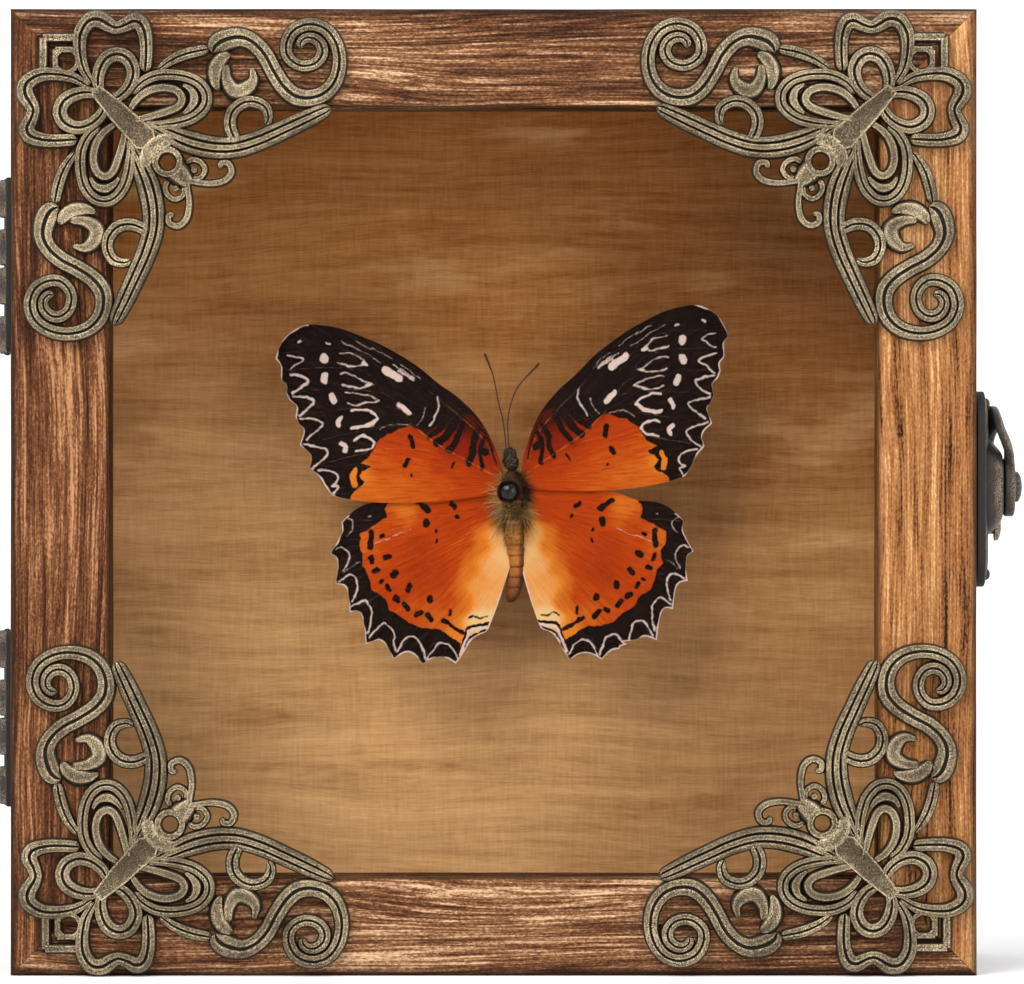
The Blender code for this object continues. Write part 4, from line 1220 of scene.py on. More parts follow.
# %% Hindwing drawing
HIND_OUTLINE = (
    ((0.4, 1.0), (-6.0, 1.4), (-13.0, 0.8), (-18.0, -0.6), (-20.9, -1.6), (-24.2, -1.9), (-26.6, -2.9),
     (-28.2, -4.2), (-29.35, -5.3)),
    ((-29.35, -5.3), (-29.2, -6.9), (-30.1, -8.8), (-31.3, -10.8)),
    ((-31.3, -10.8), (-30.2, -11.6), (-30.0, -13.6), (-30.4, -16.1)),
    ((-30.4, -16.1), (-29.0, -16.4), (-28.3, -17.4), (-28.0, -19.2), (-27.9, -21.1)),
    ((-27.9, -21.1), (-26.5, -20.9), (-25.8, -21.6), (-25.3, -24.0), (-25.1, -26.7)),
    ((-25.1, -26.7), (-23.8, -26.2), (-22.6, -26.0), (-21.4, -27.0), (-20.2, -29.3)),
    ((-20.2, -29.3), (-18.9, -28.5), (-17.7, -28.1), (-16.4, -28.7), (-15.1, -30.1)),
    ((-15.1, -30.1), (-13.6, -29.2), (-12.2, -28.9), (-10.9, -29.1), (-9.3, -30.1)),
    ((-9.3, -30.1), (-8.1, -28.4), (-6.5, -25.9), (-5.2, -25.0), (-3.9, -24.4), (-3.2, -23.0),
     (-2.2, -20.4), (-1.3, -17.8), (-0.4, -15.0), (0.4, -12.1), (0.8, -9.0), (1.0, -6.0),
     (0.9, -3.0), (0.4, 1.0)),
)
TORN_TOOTH = (
    ((-25.1, -26.7), (-23.8, -26.2), (-22.6, -26.0), (-21.0, -26.6), (-18.8, -26.9)),
    ((-18.8, -26.9), (-19.7, -27.4)), ((-19.7, -27.4), (-18.5, -27.7)),
    ((-18.5, -27.7), (-18.2, -28.3)),
    ((-18.2, -28.3), (-17.4, -28.3), (-16.4, -28.8), (-15.1, -30.1)),
)
HIND_INK_AREA = (
    (-20.6, 3.0), (-20.9, -1.7), (-21.7, -3.0), (-21.4, -4.6), (-24.2, -6.2), (-26.1, -7.3),
    (-26.2, -9.5), (-25.4, -10.8), (-25.7, -12.9), (-24.6, -14.4), (-24.3, -15.6),
    (-24.0, -17.3), (-22.4, -18.2), (-21.5, -18.9), (-20.8, -20.6), (-19.2, -21.6),
    (-17.7, -22.8), (-15.6, -23.8), (-12.4, -24.1), (-10.4, -25.1), (-8.4, -26.6),
    (-8.7, -28.6), (-7.2, -32.0), (-50.0, -32.0), (-50.0, 3.0),
)
HIND_INK = (
    (0.60, (-14.5, -5.2), (-14.5, -5.6)), (0.50, (-21.6, -11.35), (-21.1, -11.2)),
    (0.48, (-20.3, -14.6), (-19.8, -14.0)), (0.50, (-17.6, -17.1), (-17.3, -16.4)),
    (0.45, (-13.95, -18.6), (-13.8, -19.0)), (0.20, (-10.35, -20.7), (-10.3, -21.7)),
    (0.33, (-22.4, -7.7), (-22.0, -7.6)), (0.46, (-24.1, -7.0), (-24.2, -8.2), (-24.3, -9.7)),
    (0.36, (-24.15, -11.4), (-24.0, -12.2)), (0.42, (-23.5, -13.7), (-23.1, -13.5)),
    (0.25, (-22.5, -15.8), (-22.2, -15.5)), (0.38, (-21.3, -16.5), (-21.0, -17.1)),
    (0.42, (-20.0, -18.5), (-19.4, -18.9)), (0.42, (-18.4, -19.6), (-17.8, -20.5)),
    (0.36, (-16.2, -21.4), (-15.4, -21.1)), (0.44, (-14.3, -21.6), (-13.7, -22.4)),
    (0.42, (-11.5, -22.6), (-10.8, -22.8)), (0.28, (-10.4, -23.2), (-9.2, -24.0), (-8.1, -24.7)),
    (0.38, (-16.2, -1.7), (-15.2, -2.3)), (0.55, (-14.7, -2.6), (-14.2, -3.1)),
    (0.32, (-10.2, -2.1), (-9.5, -2.6)), (0.20, (-12.8, -6.7), (-12.8, -6.9)),
    (0.16, (-12.6, -8.4), (-12.7, -9.0)), (0.24, (-9.1, -4.2), (-9.0, -4.4)),
    (0.09, (-7.0, -22.1), (-6.2, -21.6), (-5.0, -21.9), (-3.8, -21.8)),
    (0.24, (-8.1, -27.0), (-7.3, -24.7), (-6.6, -23.6), (-3.5, -23.1)),
    (0.22, (-8.4, -28.9), (-6.6, -25.6), (-5.0, -24.6), (-3.8, -24.2)),
)
HIND_CHALK = (
    (0.09, (-28.3, -4.6), (-27.4, -5.3), (-27.5, -6.5), (-28.3, -7.4)),
    (0.13, (-30.4, -10.1), (-29.3, -9.7), (-28.2, -10.6), (-28.2, -12.3), (-29.1, -13.8)),
    (0.17, (-29.8, -15.5), (-27.7, -14.7), (-26.6, -16.1), (-26.8, -17.8), (-27.4, -19.3)),
    (0.17, (-27.5, -20.2), (-25.5, -19.0), (-24.5, -19.8), (-24.0, -21.5), (-24.7, -24.9)),
    (0.16, (-24.4, -25.6), (-22.7, -23.4), (-21.5, -23.1), (-20.4, -24.3), (-19.9, -27.9)),
    (0.16, (-19.7, -28.1), (-18.0, -25.8), (-16.7, -25.5), (-15.5, -26.6), (-14.7, -29.3)),
    (0.16, (-14.4, -29.3), (-12.8, -26.9), (-11.6, -26.4), (-10.1, -27.2), (-9.1, -29.2)),
    (0.24, (-8.6, -28.6), (-7.3, -25.6), (-6.6, -24.2), (-3.9, -23.7)),
    (0.13, (-7.4, -27.0), (-6.0, -25.3), (-3.9, -24.5)),
    (0.07, (-23.6, -9.1), (-20.2, -7.7), (-17.2, -6.6)),
    (0.05, (-29.0, -14.3), (-27.4, -12.9), (-26.0, -12.2)),
    (0.10, (-24.7, -4.1), (-24.4, -4.2)),
)
HIND_GAPS = ((0.40, (-25.4, -8.0), (-25.5, -9.6)),)
HIND_VEINS = (
    (0.06, (-4.9, -2.4), (-10.9, -4.1), (-20.7, -4.8), (-29.0, -5.4)),
    (0.05, (-4.9, -3.4), (-11.0, -6.2), (-17.0, -7.6), (-31.0, -10.9)),
    (0.06, (-4.9, -4.4), (-12.8, -9.3), (-19.9, -12.9), (-30.0, -16.0)),
    (0.05, (-4.6, -4.8), (-13.0, -12.0), (-27.4, -20.8)),
    (0.05, (-5.2, -5.6), (-8.8, -9.0), (-15.2, -16.4), (-24.6, -26.2)),
    (0.05, (-4.6, -6.0), (-9.4, -14.6), (-19.8, -28.6)),
    (0.05, (-4.2, -6.4), (-8.4, -16.6), (-14.8, -29.6)),
    (0.05, (-3.8, -6.4), (-7.6, -17.0), (-8.8, -25.0)),
    (0.04, (-2.6, -6.6), (-5.2, -16.0), (-5.6, -21.6)),
)
HIND_WARMTH = (
    (-5.0, -3.5, 0.8), (-9.0, -6.0, 0.75), (-10.0, -3.0, 0.85), (-14.0, -4.0, 0.95),
    (-18.5, -3.2, 1.55), (-20.0, -5.6, 1.1), (-20.0, -9.0, 0.95), (-16.0, -10.0, 0.65),
    (-15.0, -14.0, 0.6), (-12.0, -14.0, 0.7), (-9.5, -13.0, 0.9), (-8.0, -9.0, 1.0),
    (-10.5, -19.0, 1.0), (-7.9, -20.0, 1.5), (-7.2, -14.0, 1.7), (-5.6, -16.0, 2.25),
    (-4.0, -19.0, 2.45), (-3.2, -13.0, 2.5), (-1.6, -11.0, 2.8), (-2.2, -8.0, 2.5),
    (-4.2, -22.5, 3.1), (-5.6, -22.3, 3.1), (-4.6, -9.5, 1.7), (-12.0, -22.8, 1.3),
    (-17.0, -21.8, 1.1), (-22.6, -16.4, 1.0), (-25.4, -9.0, 1.35), (-9.4, -25.0, 1.9),
    (-20.0, -17.6, 0.9), (-24.6, -12.8, 1.1),
)
print("hindwing:", len(HIND_INK), "dark and", len(HIND_CHALK), "white strokes")


# %% From drawing to numbers on each point
def segment_distance(points, line):
    """Distance from each point to a polyline."""
    best = np.full(len(points), 1e9)
    for a, b in zip(line, line[1:]):
        a, b = np.array(a[:2], float), np.array(b[:2], float)
        run = b - a
        t = np.clip(((points - a) @ run) / max(run @ run, 1e-12), 0, 1)
        best = np.minimum(best, np.linalg.norm(points - a - t[:, None] * run, axis=1))
    return best


def inside(points, ring):
    """True where a point lies within a closed outline."""
    hit = np.zeros(len(points), bool)
    x, z = points[:, 0], points[:, 1]
    for (ax, az), (bx, bz) in zip(ring, np.roll(ring, -1, axis=0)):
        if az == bz:
            continue
        crosses = (az > z) != (bz > z)
        hit ^= crosses & (x < (bx - ax) * (z - az) / (bz - az) + ax)
    return hit


def area_depth(points, ring):
    """How deep inside an area each point is, in millimetres; outside it is negative."""
    ring = np.array(ring, float)
    edge = segment_distance(points, np.vstack([ring, ring[:1]]))
    return np.where(inside(points, ring), edge, -edge)


def stroke_depth(points, strokes):
    """The same for strokes: (half width, point, point, ...)."""
    best = np.full(len(points), -9.0)
    for half, *line in strokes:
        line = smooth_line(line, 0.4) if len(line) > 2 else line
        best = np.maximum(best, half - segment_distance(points, line))
    return best


def warmth(points, spots):
    """Smooth blend of the warmth noted at a few spots."""
    spots = np.array(spots)
    apart = np.linalg.norm(points[:, None, :] - spots[None, :, :2], axis=2)
    weight = 1 / (apart**2 + 1.6) ** 2
    return (weight * spots[:, 2]).sum(1) / weight.sum(1)


print("field helpers are ready")


# %% Wing finish
INK = (0.0052, 0.0017, 0.0010)
INK_DUST = (0.026, 0.011, 0.0065)
CHALK = (0.58, 0.44, 0.39)
SCORCH = (0.022, 0.0030, 0.0006)
FLAME = (0.155, 0.0075, 0.0006)
ORANGE = (0.35, 0.036, 0.0012)
AMBER = (0.56, 0.16, 0.013)
CREAM = (0.60, 0.37, 0.155)


def wing_finish():
    finish = Finish("wing_scales")
    spot = finish.place()
    rows = finish.attribute("scale_rows", "Vector")
    scales = finish.noise(spot, 6.0, 2, 0.6)
    nap = finish.noise(spot, 1.3, 3, 0.6)
    comb = finish.noise(finish.stretch(rows, (0.22, 3.4, 1.0)), detail=3, roughness=0.6)
    fuzz = (scales - 0.5) * 0.20 + (nap - 0.5) * 0.16 + (comb - 0.5) * 0.5
    warm = finish.attribute("warmth") * 0.25 + 0.25 + (comb - 0.5) * 0.16 + (nap - 0.5) * 0.08
    ground = finish.ramp(warm, (0.0, SCORCH), (0.25, FLAME), (0.5, ORANGE), (0.75, AMBER),
                         (1.0, CREAM))
    streak = finish.step(comb * 0.6 + scales * 0.4, 0.54, 0.36) * finish.step(warm, 0.80, 0.55)
    shade = finish.mix(streak * 0.42, ground, FLAME)
    rib = finish.step(finish.attribute("rib") + fuzz * 0.2, -0.06, 0.08)
    ribbed = finish.mix(rib * finish.step(nap, 0.35, 0.6) * 0.5, shade, (0.50, 0.15, 0.02))
    dusty = finish.mix(finish.step(comb * 0.6 + scales * 0.4, 0.50, 0.68), INK, INK_DUST)
    dusty_rib = finish.mix(rib * finish.step(nap, 0.40, 0.58) * 0.8, dusty, (0.13, 0.055, 0.038))
    ink = finish.step(finish.attribute("ink") + fuzz, -0.12, 0.10)
    marked = finish.mix(ink, ribbed, dusty_rib)
    chalk = finish.step(finish.attribute("chalk") + fuzz * 0.30, -0.10, 0.15)
    worn = finish.mix(finish.step(scales, 0.30, 0.62) * 0.35, CHALK, (0.24, 0.14, 0.11))
    finish.set(
        Base_Color=finish.mix(chalk, marked, worn),
        Roughness=0.62 + scales * 0.2,
        Normal=finish.bump(scales + rib * 0.6 + comb * 1.4, 0.07, 0.6),
    )
    finish.shader.inputs["Specular IOR Level"].default_value = 0.05
    return finish.material


wing_scales = wing_finish()
print("wing finish:", wing_scales.name)


# %% [markdown]
# ## Wings
#
# The outline is closed runs of smooth curve that meet in sharp teeth. Its inside is filled with an
# even field of points, and a constrained Delaunay triangulation joins them without crossing the
# outline. The membrane gets a slight droop, ribs along the veins and a faint ripple between them,
# and a second copy behind it closes it into a thin sheet.

# %% Wing sheets
WING_STEP = 0.25
SHEET = 0.11
MIDDLE = np.array([2.6, 82.5])
FORE_DROP = 0.0007


def close_runs(runs, step):
    line = np.vstack([smooth_line(run, step)[:-1] for run in runs])
    return line


def fill(ring, step):
    """Points and triangles that fill a closed outline evenly."""
    low, high = ring.min(0), ring.max(0)
    columns = np.arange(low[0], high[0], step)
    rows = np.arange(low[1], high[1], step * 0.87)
    grid = np.array([(x + (i % 2) * step / 2, z) for i, z in enumerate(rows) for x in columns])
    depth = area_depth(grid, ring)
    grid = grid[depth > step * 0.45]
    points = np.vstack([ring, grid])
    count = len(ring)
    edges = [(i, (i + 1) % count) for i in range(count)]
    made = delaunay_2d_cdt([Vector(p) for p in points], edges, [], 1, 1e-5)
    return np.array(made[0]), [tuple(face) for face in made[2]], made[1]


def wobble(points, seed):
    """The same points pushed about a little, so that no mark keeps a ruled edge."""
    pushes = []
    for x, z in points:
        coarse = noise.noise_vector(Vector((x * 0.55, z * 0.55, seed)))
        fine = noise.noise_vector(Vector((x * 1.9, z * 1.9, seed + 40)))
        pushes.append((0.30 * coarse.x + 0.17 * fine.x, 0.30 * coarse.y + 0.17 * fine.y))
    return points + np.array(pushes)


def broken(points, seed):
    """How much of a white edge is left: it wears off in patches."""
    left = [noise.noise(Vector((x * 0.45, z * 0.45, seed + 80))) for x, z in points]
    return np.clip(0.5 + 1.6 * np.array(left), 0, 1)


def wing_relief(points, veins, root, seed):
    """How far forward each point of the sheet stands."""
    reach = np.linalg.norm(points - root, axis=1)
    ribs = np.maximum(stroke_depth(points, [(0.22, *line) for _, *line in veins]), 0)
    ripple = [noise.noise(Vector((x * 0.16, z * 0.16, seed))) for x, z in points]
    return ribs * 0.35 + 0.10 * np.array(ripple) - FORE_DROP * reach**2


def wing_sheet(name, runs, drawing, placement, front, seed, node):
    ink_area, ink, chalk, gaps, veins, warm = drawing
    ring = close_runs(runs, 0.28)
    points, faces, _ = fill(ring, WING_STEP)
    root = np.array([-2.0, 1.0])
    edge = segment_distance(points, np.vstack([ring, ring[:1]]))
    margin = 0.26 * broken(points, seed) + 0.02 - edge
    drawn_at = wobble(points, seed)
    away = np.linalg.norm(points - root, axis=1)
    costal = (points[:, 1] > 14.0) & (points[:, 0] > -35.0)
    sheltered = (points[:, 1] > -4.0) & (points[:, 0] > -30.3)
    seam = np.where(costal | sheltered | (away < 9.0), -1.0, margin)
    depth = np.maximum(area_depth(drawn_at, ink_area), stroke_depth(drawn_at, ink) + 0.07)
    depth = np.maximum(depth, np.where(costal, 0.4 - edge, -9.0))
    depth = np.minimum(depth, -stroke_depth(drawn_at, gaps))
    white = np.maximum(stroke_depth(drawn_at, chalk), seam)
    rib = stroke_depth(points, veins)
    relief = wing_relief(points, veins, root, seed)
    thick = SHEET * np.ones(len(points))
    turn = np.arctan2(points[:, 1] - root[1], -points[:, 0] - root[0] + 8.0)
    rows = np.column_stack([away, turn * 22, np.full(len(points), seed)])
    values = {"ink": depth, "chalk": white, "rib": rib, "warmth": warmth(drawn_at, warm),
              "scale_rows": rows}
    spots = np.column_stack([points, np.ones(len(points))]) @ placement + MIDDLE
    x, z = spots[:, 0], spots[:, 1]
    count = len(points)
    front_y = front - relief
    sheet = np.vstack([np.stack([x, front_y, z], 1), np.stack([x, front_y + thick, z], 1)])
    ends = {}
    for face in faces:
        for a, b in zip(face, face[1:] + face[:1]):
            ends[(a, b)] = ends.get((a, b), 0) + 1
    rim = [(a, b) for a, b in ends if (b, a) not in ends]
    skin_faces = faces + [tuple(i + count for i in face[::-1]) for face in faces]
    skin_faces += [(b, a, a + count, b + count) for a, b in rim]
    doubled = {key: np.concatenate([value, value]) for key, value in values.items()}
    return make_piece(name, sheet, skin_faces, wing_scales, "case", [node],
                      doubled, 0)


def placement_from(pairs):
    """The flat stretch and turn that takes the left landmarks to the right ones."""
    left = np.array([(*a, 1.0) for a, _ in pairs])
    right = np.array([b for _, b in pairs], float)
    return np.linalg.lstsq(left, right, rcond=None)[0]


AS_DRAWN = np.array([(1.0, 0.0), (0.0, 1.0), (0.0, 0.0)])
FORE_ACROSS = placement_from((
    ((-32.4, 23.4), (30.3, 26.9)), ((-30.9, 16.4), (29.6, 19.5)), ((-28.8, 7.8), (28.8, 11.2)),
    ((-22.6, 12.9), (21.7, 15.8)), ((-20.1, 20.6), (18.9, 22.9)), ((-17.0, 11.8), (17.0, 14.0)),
    ((-17.0, 8.7), (16.8, 10.7)), ((-30.9, -0.5), (30.6, 2.9)), ((-40.9, 23.4), (38.4, 27.0)),
    ((-1.8, 2.1), (3.1, 2.6)),
))
HIND_ACROSS = placement_from((
    ((-29.3, -5.3), (30.6, -5.0)), ((-31.3, -10.8), (32.4, -10.2)), ((-30.3, -16.1), (31.4, -15.6)),
    ((-27.8, -21.0), (29.0, -20.6)), ((-25.0, -26.6), (26.3, -26.0)), ((-15.1, -30.1), (16.0, -29.4)),
    ((-9.4, -30.0), (10.5, -28.9)), ((0.4, -12.1), (2.7, -11.8)), ((-21.4, -11.3), (22.7, -11.1)),
    ((-13.9, -18.8), (15.0, -18.4)), ((-14.5, -5.4), (15.8, -5.1)), ((-3.6, -23.2), (5.3, -22.8)),
))
FORE = (FORE_INK_AREA, FORE_INK, FORE_CHALK, FORE_GAPS, FORE_VEINS, FORE_WARMTH)
HIND = (HIND_INK_AREA, HIND_INK, HIND_CHALK, HIND_GAPS, HIND_VEINS, HIND_WARMTH)
TORN_OUTLINE = HIND_OUTLINE[:5] + TORN_TOOTH + HIND_OUTLINE[7:]
fore_y = corners("forewing_left")[0][1] + 0.15
hind_y = corners("hindwing_left")[0][1] + 0.15
wings = [
    wing_sheet("forewing_left_sheet", FORE_OUTLINE, FORE, AS_DRAWN, fore_y, 1.0, "forewing_left"),
    wing_sheet("forewing_right_sheet", FORE_OUTLINE, FORE, FORE_ACROSS, fore_y, 5.0,
               "forewing_right"),
    wing_sheet("hindwing_left_sheet", HIND_OUTLINE, HIND, AS_DRAWN, hind_y, 9.0, "hindwing_left"),
    wing_sheet("hindwing_right_sheet", TORN_OUTLINE, HIND, HIND_ACROSS, hind_y, 13.0,
               "hindwing_right"),
]
print("wing faces:", [len(piece.data.polygons) for piece in wings])


# %% [markdown]
# ## Body, antennae and pin
#
# The body is three rounded lumps covered with fine hair. A particle system can't be handed over, so
# each hair is a tiny tapered prism: a ring at the root, a smaller one half way and a point, all
# written into one mesh with a number called tint that says how pale the hair is. The antennae, the
# pin's shaft and its black bead are tubes swept along a path with a radius at each station.

# %% Body finishes
def tinted(name, roughness, specular, *stops):
    """A finish whose colour follows the number `tint` kept on the mesh."""
    finish = Finish(name)
    grain = finish.noise(finish.place(), 3.0, 3, 0.65)
    finish.set(
        Base_Color=finish.ramp(finish.attribute("tint") + (grain - 0.5) * 0.35, *stops),
        Roughness=roughness + grain * 0.15,
        Normal=finish.bump(grain, 0.05, 0.5),
    )
    finish.shader.inputs["Specular IOR Level"].default_value = specular
    return finish.material


fur = tinted("body_fur", 0.55, 0.15, (0.0, (0.004, 0.003, 0.002)), (0.35, (0.028, 0.015, 0.006)),
             (0.6, (0.16, 0.070, 0.010)), (0.82, (0.42, 0.215, 0.042)), (1.0, (0.58, 0.43, 0.26)))
chitin = tinted("abdomen_skin", 0.4, 0.25, (0.0, (0.050, 0.010, 0.003)),
                (0.35, (0.19, 0.048, 0.006)), (0.65, (0.36, 0.125, 0.015)),
                (1.0, (0.070, 0.036, 0.010)))
horn = tinted("dark_horn", 0.35, 0.3, (0.0, (0.008, 0.003, 0.002)), (1.0, (0.050, 0.018, 0.009)))
bead = tinted("black_bead", 0.10, 0.30, (0.0, (0.001, 0.001, 0.001)), (1.0, (0.006, 0.006, 0.007)))
steel = tinted("pin_steel", 0.25, 0.5, (0.0, (0.05, 0.05, 0.055)), (1.0, (0.16, 0.16, 0.17)))
steel.node_tree.nodes["Principled BSDF"].inputs["Metallic"].default_value = 0.9
print("body finishes:", fur.name, chitin.name, horn.name, bead.name, steel.name)


# %% Body skins
# (z, x, y, half wide, half deep) from the front of the animal to its tip
HEAD = ((90.3, 2.75, 2.0, 0.15, 0.2), (89.9, 2.75, 2.0, 0.7, 0.7), (89.0, 2.8, 2.1, 1.05, 1.1),
        (87.8, 2.9, 2.3, 1.3, 1.4), (86.8, 3.1, 2.5, 1.1, 1.2), (86.2, 3.1, 2.6, 0.6, 0.7))
THORAX = ((86.3, 3.1, 2.8, 0.4, 0.5), (85.6, 3.2, 2.8, 1.4, 1.8), (84.2, 3.3, 3.0, 1.9, 3.0),
          (82.3, 3.5, 3.1, 2.1, 3.4), (80.0, 3.6, 3.1, 1.8, 3.0), (78.7, 3.6, 3.0, 1.1, 1.9),
          (78.2, 3.6, 3.0, 0.3, 0.5))
ABDOMEN = ((78.5, 3.4, 3.2, 0.5, 0.7), (77.6, 3.45, 3.3, 1.5, 1.7), (75.2, 3.5, 3.5, 1.8, 1.9),
           (72.5, 3.75, 3.8, 1.65, 1.9), (69.5, 3.95, 4.1, 1.5, 1.8), (66.5, 3.7, 4.3, 1.4, 1.6),
           (64.2, 3.2, 4.4, 1.1, 1.2), (63.3, 2.95, 4.5, 0.6, 0.6), (63.1, 2.95, 4.5, 0.1, 0.1))
SEGMENTS = (76.9, 75.0, 73.1, 71.2, 69.2, 67.4, 65.6)


def lump(stations, seed, grooves=(), around=44):
    """A rounded body skin, a little uneven, with a narrow waist at each groove."""
    turns = 2 * math.pi * np.arange(around) / around
    rings = []
    for z, x, y, wide, deep in smooth_line(stations, 0.14):
        waist = 1 - 0.07 * sum(math.exp(-(((z - groove) / 0.16) ** 2)) for groove in grooves)
        bumps = [noise.noise(Vector((math.cos(t) * 2, math.sin(t) * 2, z * 1.3 + seed)))
                 for t in turns]
        swell = waist * (1 + 0.07 * np.array(bumps))
        wide, deep = max(wide, 0.05), max(deep, 0.05)
        rings.append(np.column_stack([x + wide * swell * np.cos(turns),
                                      y + deep * swell * np.sin(turns), np.full(around, z)]))
    return skin(rings)


def tint_of(points, level, spread, seed):
    picks = np.random.default_rng(seed)
    return np.clip(level + spread * picks.standard_normal(len(points)), 0, 1)


head_points, head_faces = lump(HEAD, 1.0)
make_piece("head_skin", head_points, head_faces, fur, "case", ["head"],
           {"tint": tint_of(head_points, 0.2, 0.05, 2)})
thorax_points, thorax_faces = lump(THORAX, 7.0)
make_piece("thorax_skin", thorax_points, thorax_faces, fur, "case", ["thorax"],
           {"tint": tint_of(thorax_points, 0.38, 0.05, 3)})
abdomen_points, abdomen_faces = lump(ABDOMEN, 13.0, SEGMENTS)
along = np.interp(abdomen_points[:, 2], (63.0, 65.5, 70.5, 74.5, 77.5), (0.0, 0.3, 0.62, 0.72, 1.0))
right_side = np.clip(abdomen_points[:, 0] - 4.1, 0, 1)
seam_dark = sum(np.exp(-(((abdomen_points[:, 2] - z - 0.2) / 0.22) ** 2)) for z in SEGMENTS)
make_piece("abdomen_segments", abdomen_points, abdomen_faces, chitin, "case",
           ["abdomen"], {"tint": np.clip(along - 0.5 * right_side - 0.25 * seam_dark, 0, 1)})
print("body skin faces:", len(head_faces) + len(thorax_faces) + len(abdomen_faces))


# %% Hair
def unit(rows):
    return rows / np.maximum(np.linalg.norm(rows, axis=1), 1e-9)[:, None]


def hair_mesh(roots, ways, lengths, radius, sag):
    """Tapered three-sided prisms that bend towards `sag`."""
    ways = unit(ways)
    side = unit(np.cross(ways, np.roll(ways, 1, axis=1) + 0.3))
    other = np.cross(ways, side)
    reach = ways * lengths[:, None]
    droop = np.array(sag) * (lengths**2)[:, None]
    rows = []
    for share, width in ((0.0, 1.0), (0.5, 0.7)):
        centre = roots + reach * share + droop * share**2
        for turn in np.radians((0, 120, 240)):
            rows.append(centre + (side * math.cos(turn) + other * math.sin(turn)) * radius * width)
    rows.append(roots + reach + droop)
    points = np.stack(rows, 1).reshape(-1, 3)
    pattern = [(2, 1, 0), (0, 1, 4, 3), (1, 2, 5, 4), (2, 0, 3, 5), (3, 4, 6), (4, 5, 6), (5, 3, 6)]
    faces = [tuple(7 * i + k for k in face) for i in range(len(roots)) for face in pattern]
    return points, faces


def coat(points, lean, count, length, radius, level, spread, keep, seed):
    """Hair rooted on a body skin where `keep` allows, leaning the given way."""
    picks = np.random.default_rng(seed)
    allowed = points[keep(points)]
    roots = allowed[picks.integers(0, len(allowed), count)]
    centre_line = np.column_stack([np.full(count, allowed[:, 0].mean()),
                                   np.full(count, allowed[:, 1].max() * 0.5 + 1.2), roots[:, 2]])
    out = unit(roots - centre_line)
    ways = out * 0.7 + np.array(lean) + picks.standard_normal((count, 3)) * 0.28
    lengths = length * picks.uniform(0.5, 1.2, count)
    made = hair_mesh(roots - out * 0.15, ways, lengths, radius, (0, 0.03, -0.03))
    return *made, np.repeat(np.clip(level + spread * picks.standard_normal(count), 0, 1), 7)


def fan(place, reach, towards, count, radius, level, spread, seed):
    """Long loose hair that lies over a wing from around a place."""
    picks = np.random.default_rng(seed)
    jitter = picks.standard_normal((count, 3)) * np.array((0.5, 0.25, 1.0))
    roots = np.array(place) + jitter
    ways = np.array(towards) + picks.standard_normal((count, 3)) * np.array((0.35, 0.05, 0.45))
    lengths = reach * picks.uniform(0.35, 1.1, count)
    made = hair_mesh(roots, ways, lengths, radius, (0, 0.012, -0.004))
    return *made, np.repeat(np.clip(level + spread * picks.standard_normal(count), 0, 1), 7)


def front(points):
    return points[:, 1] < 3.4


def right_of_pin(points):
    return (points[:, 0] > 3.8) & (points[:, 1] < 4.0)


def below_pin(points):
    return (points[:, 2] < 81.2) & (points[:, 1] < 3.0)


coats = {
    "thorax_fur": [
        coat(thorax_points, (0, -0.3, -0.35), 1500, 0.8, 0.045, 0.42, 0.22, front, 21),
        coat(thorax_points, (0.3, -0.3, 0.1), 420, 1.5, 0.050, 0.06, 0.06, right_of_pin, 22),
        coat(thorax_points, (0, -0.35, -0.55), 420, 1.3, 0.045, 0.72, 0.14, below_pin, 23),
        fan((1.4, 2.0, 82.0), 3.6, (-1.0, -0.16, -0.10), 130, 0.028, 0.80, 0.12, 24),
        fan((1.6, 2.2, 79.8), 3.8, (-0.85, -0.10, -0.75), 190, 0.028, 0.74, 0.22, 25),
        fan((4.9, 2.0, 82.2), 2.4, (0.9, -0.25, 0.0), 240, 0.034, 0.10, 0.12, 26),
        fan((4.8, 2.1, 79.8), 3.6, (0.80, -0.10, -0.75), 190, 0.028, 0.74, 0.24, 27),
        fan((2.0, 2.2, 78.6), 4.4, (-0.45, -0.05, -1.0), 110, 0.026, 0.42, 0.28, 28),
        fan((4.9, 2.2, 78.6), 4.4, (0.40, -0.05, -1.0), 110, 0.026, 0.42, 0.28, 29),
        fan((1.9, 1.9, 84.4), 2.2, (-0.9, -0.2, 0.45), 160, 0.028, 0.60, 0.2, 30),
        fan((4.4, 1.9, 84.4), 2.2, (0.9, -0.2, 0.45), 160, 0.028, 0.40, 0.2, 31),
    ],
    "head_fur": [
        coat(head_points, (0, -0.35, 0.3), 420, 0.55, 0.045, 0.10, 0.08, front, 32),
        coat(head_points, (0, -0.4, 0.2), 260, 0.40, 0.070, 0.97, 0.04, front, 33),
    ],
    "abdomen_fur": [
        coat(abdomen_points[abdomen_points[:, 2] > 72.5], (0, -0.1, -1.0), 520, 1.0, 0.032, 0.50,
             0.14, front, 35),
        coat(abdomen_points, (0, -0.05, -1.2), 260, 0.6, 0.026, 0.62, 0.12, front, 36),
    ],
}
for name, parts in coats.items():
    points, faces = join([part[:2] for part in parts])
    tints = np.concatenate([part[2] for part in parts])
    make_piece(name, points, faces, fur, "case", (), {"tint": tints}, 60)
    print(name, "has", len(points) // 7, "hairs")


# %% Antennae, palps, eyes and pin
def tube(path, radii, reference, around=12):
    """A closed skin along a path of points, with a radius at each."""
    path = np.array(path, float)
    run = unit(np.gradient(path, axis=0))
    side = unit(np.cross(run, np.array(reference, float)))
    other = np.cross(run, side)
    turns = 2 * math.pi * np.arange(around) / around
    rings = []
    for place, a, b, radius in zip(path, side, other, radii):
        rings.append(place + radius * (np.cos(turns)[:, None] * a + np.sin(turns)[:, None] * b))
    return skin(rings)


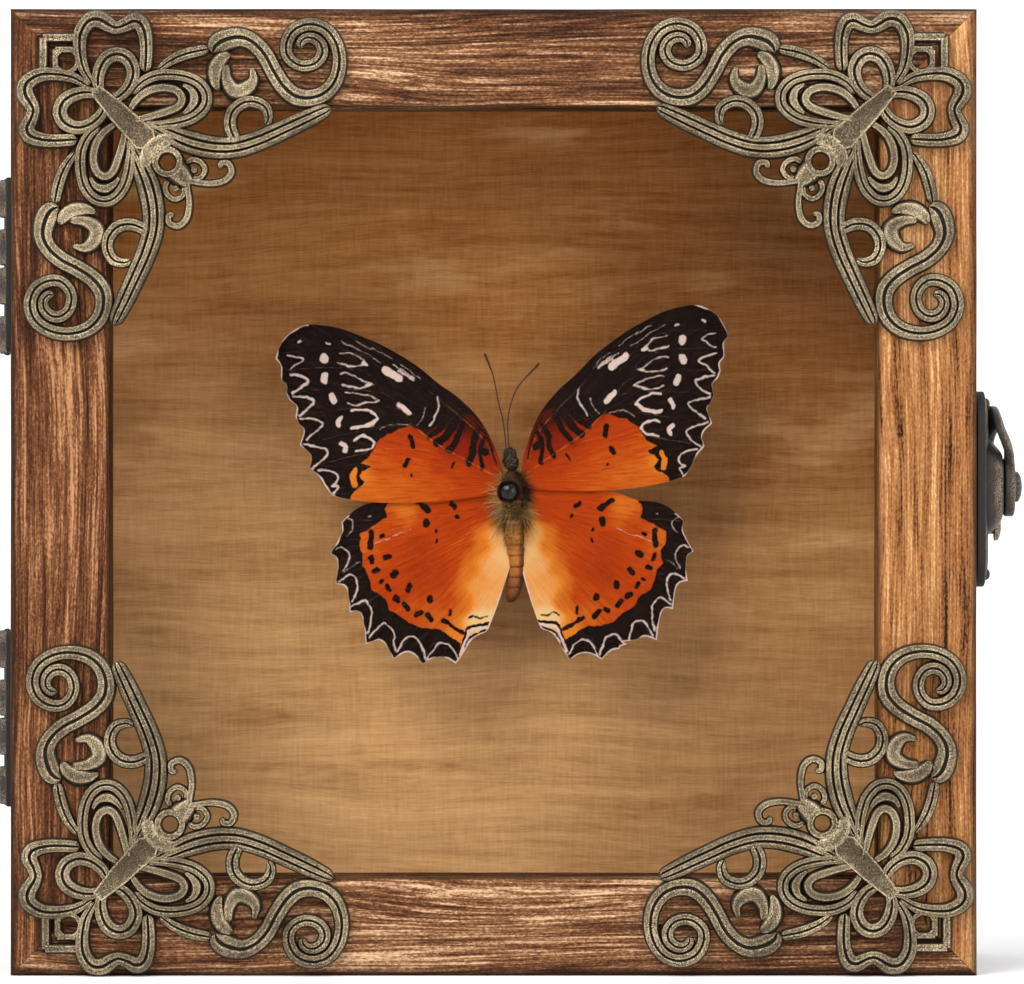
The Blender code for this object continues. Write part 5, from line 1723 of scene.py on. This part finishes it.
def antenna(node, route):
    """A jointed stem in front of the board that swells into a club at its end."""
    line = smooth_line(route, 0.07)
    gone = np.concatenate([[0], np.cumsum(np.linalg.norm(np.diff(line, axis=0), axis=1))])
    left = gone[-1] - gone
    radii = 0.115 + 0.14 * np.clip(1 - left / 3.6, 0, 1) ** 0.6
    radii *= 1 - 0.14 * (np.cos(2 * math.pi * gone / 0.42) > 0.75)
    radii *= np.sqrt(np.clip(left / 0.3, 0.05, 1))
    path = np.column_stack([line[:, 0] + MIDDLE[0], 1.6 - 0.6 * np.sin(gone / gone[-1] * 3.0) * 0.5,
                            line[:, 1] + MIDDLE[1]])
    points, faces = tube(path, radii, (0, 1, 0))
    shade = np.repeat(np.clip(0.25 + 0.6 * (gone % 0.84 > 0.42), 0, 1), 12)
    make_piece(node + "_jointed", points, faces, horn, "case", [node],
               {"tint": shade})


antenna("antenna_left", ((-0.35, 6.6), (-0.53, 8.2), (-0.96, 12.1), (-1.82, 15.7), (-2.77, 20.4),
                         (-4.26, 24.3)))
antenna("antenna_right", ((0.25, 6.6), (-0.04, 8.2), (-0.19, 11.0), (-0.10, 13.3), (0.44, 15.7),
                          (1.30, 17.9), (2.56, 19.6), (4.10, 21.2), (5.36, 22.6)))

swell = (0.1, 0.55, 0.85, 1.0, 0.95, 0.8, 0.5, 0.1)
face_parts = []
for x, lean in ((2.15, -0.03), (3.45, 0.02)):
    palp = [(x + lean * k, 1.5 - 0.04 * k, 88.3 + 0.26 * k) for k in range(8)]
    face_parts.append(tube(palp, [0.40 * s for s in swell], (0, 1, 0)))
for x in (2.05, 3.75):
    eye = [(x, 1.15 + 0.22 * k, 87.9) for k in range(8)]
    face_parts.append(tube(eye, [0.62 * s for s in swell], (0, 0, 1), 20))
points, faces = join(face_parts)
make_piece("eyes_and_palps", points, faces, horn, "case", (),
           {"tint": tint_of(points, 0.15, 0.1, 41)})

PIN_BALL = (corners("pin_head")[0] + corners("pin_head")[1]) / 2
BALL_RADIUS = (corners("pin_head")[1][0] - corners("pin_head")[0][0]) / 2
PIN_SLOPE = 0.085
tilts = np.linspace(0.02, math.pi - 0.02, 36)
ball = [PIN_BALL - np.array((0, BALL_RADIUS * math.cos(t), 0)) for t in tilts]
points, faces = tube(ball, BALL_RADIUS * np.sin(tilts), (0, 0, 1), 48)
make_piece("pin_bead", points, faces, bead, "case", ["pin_head"],
           {"tint": tint_of(points, 0.3, 0.1, 42)}, 60)
depths = np.linspace(PIN_BALL[1], corners("pin_shaft")[1][1], 60)
shaft = [(PIN_BALL[0] + PIN_SLOPE * (y - PIN_BALL[1]), y, PIN_BALL[2]) for y in depths]
points, faces = tube(shaft, np.full(60, 0.31), (0, 0, 1), 16)
make_piece("pin_shank", points, faces, steel, "case", ["pin_shaft"],
           {"tint": tint_of(points, 0.5, 0.2, 43)})
print("pin bead radius", round(float(BALL_RADIUS), 2), "mm")
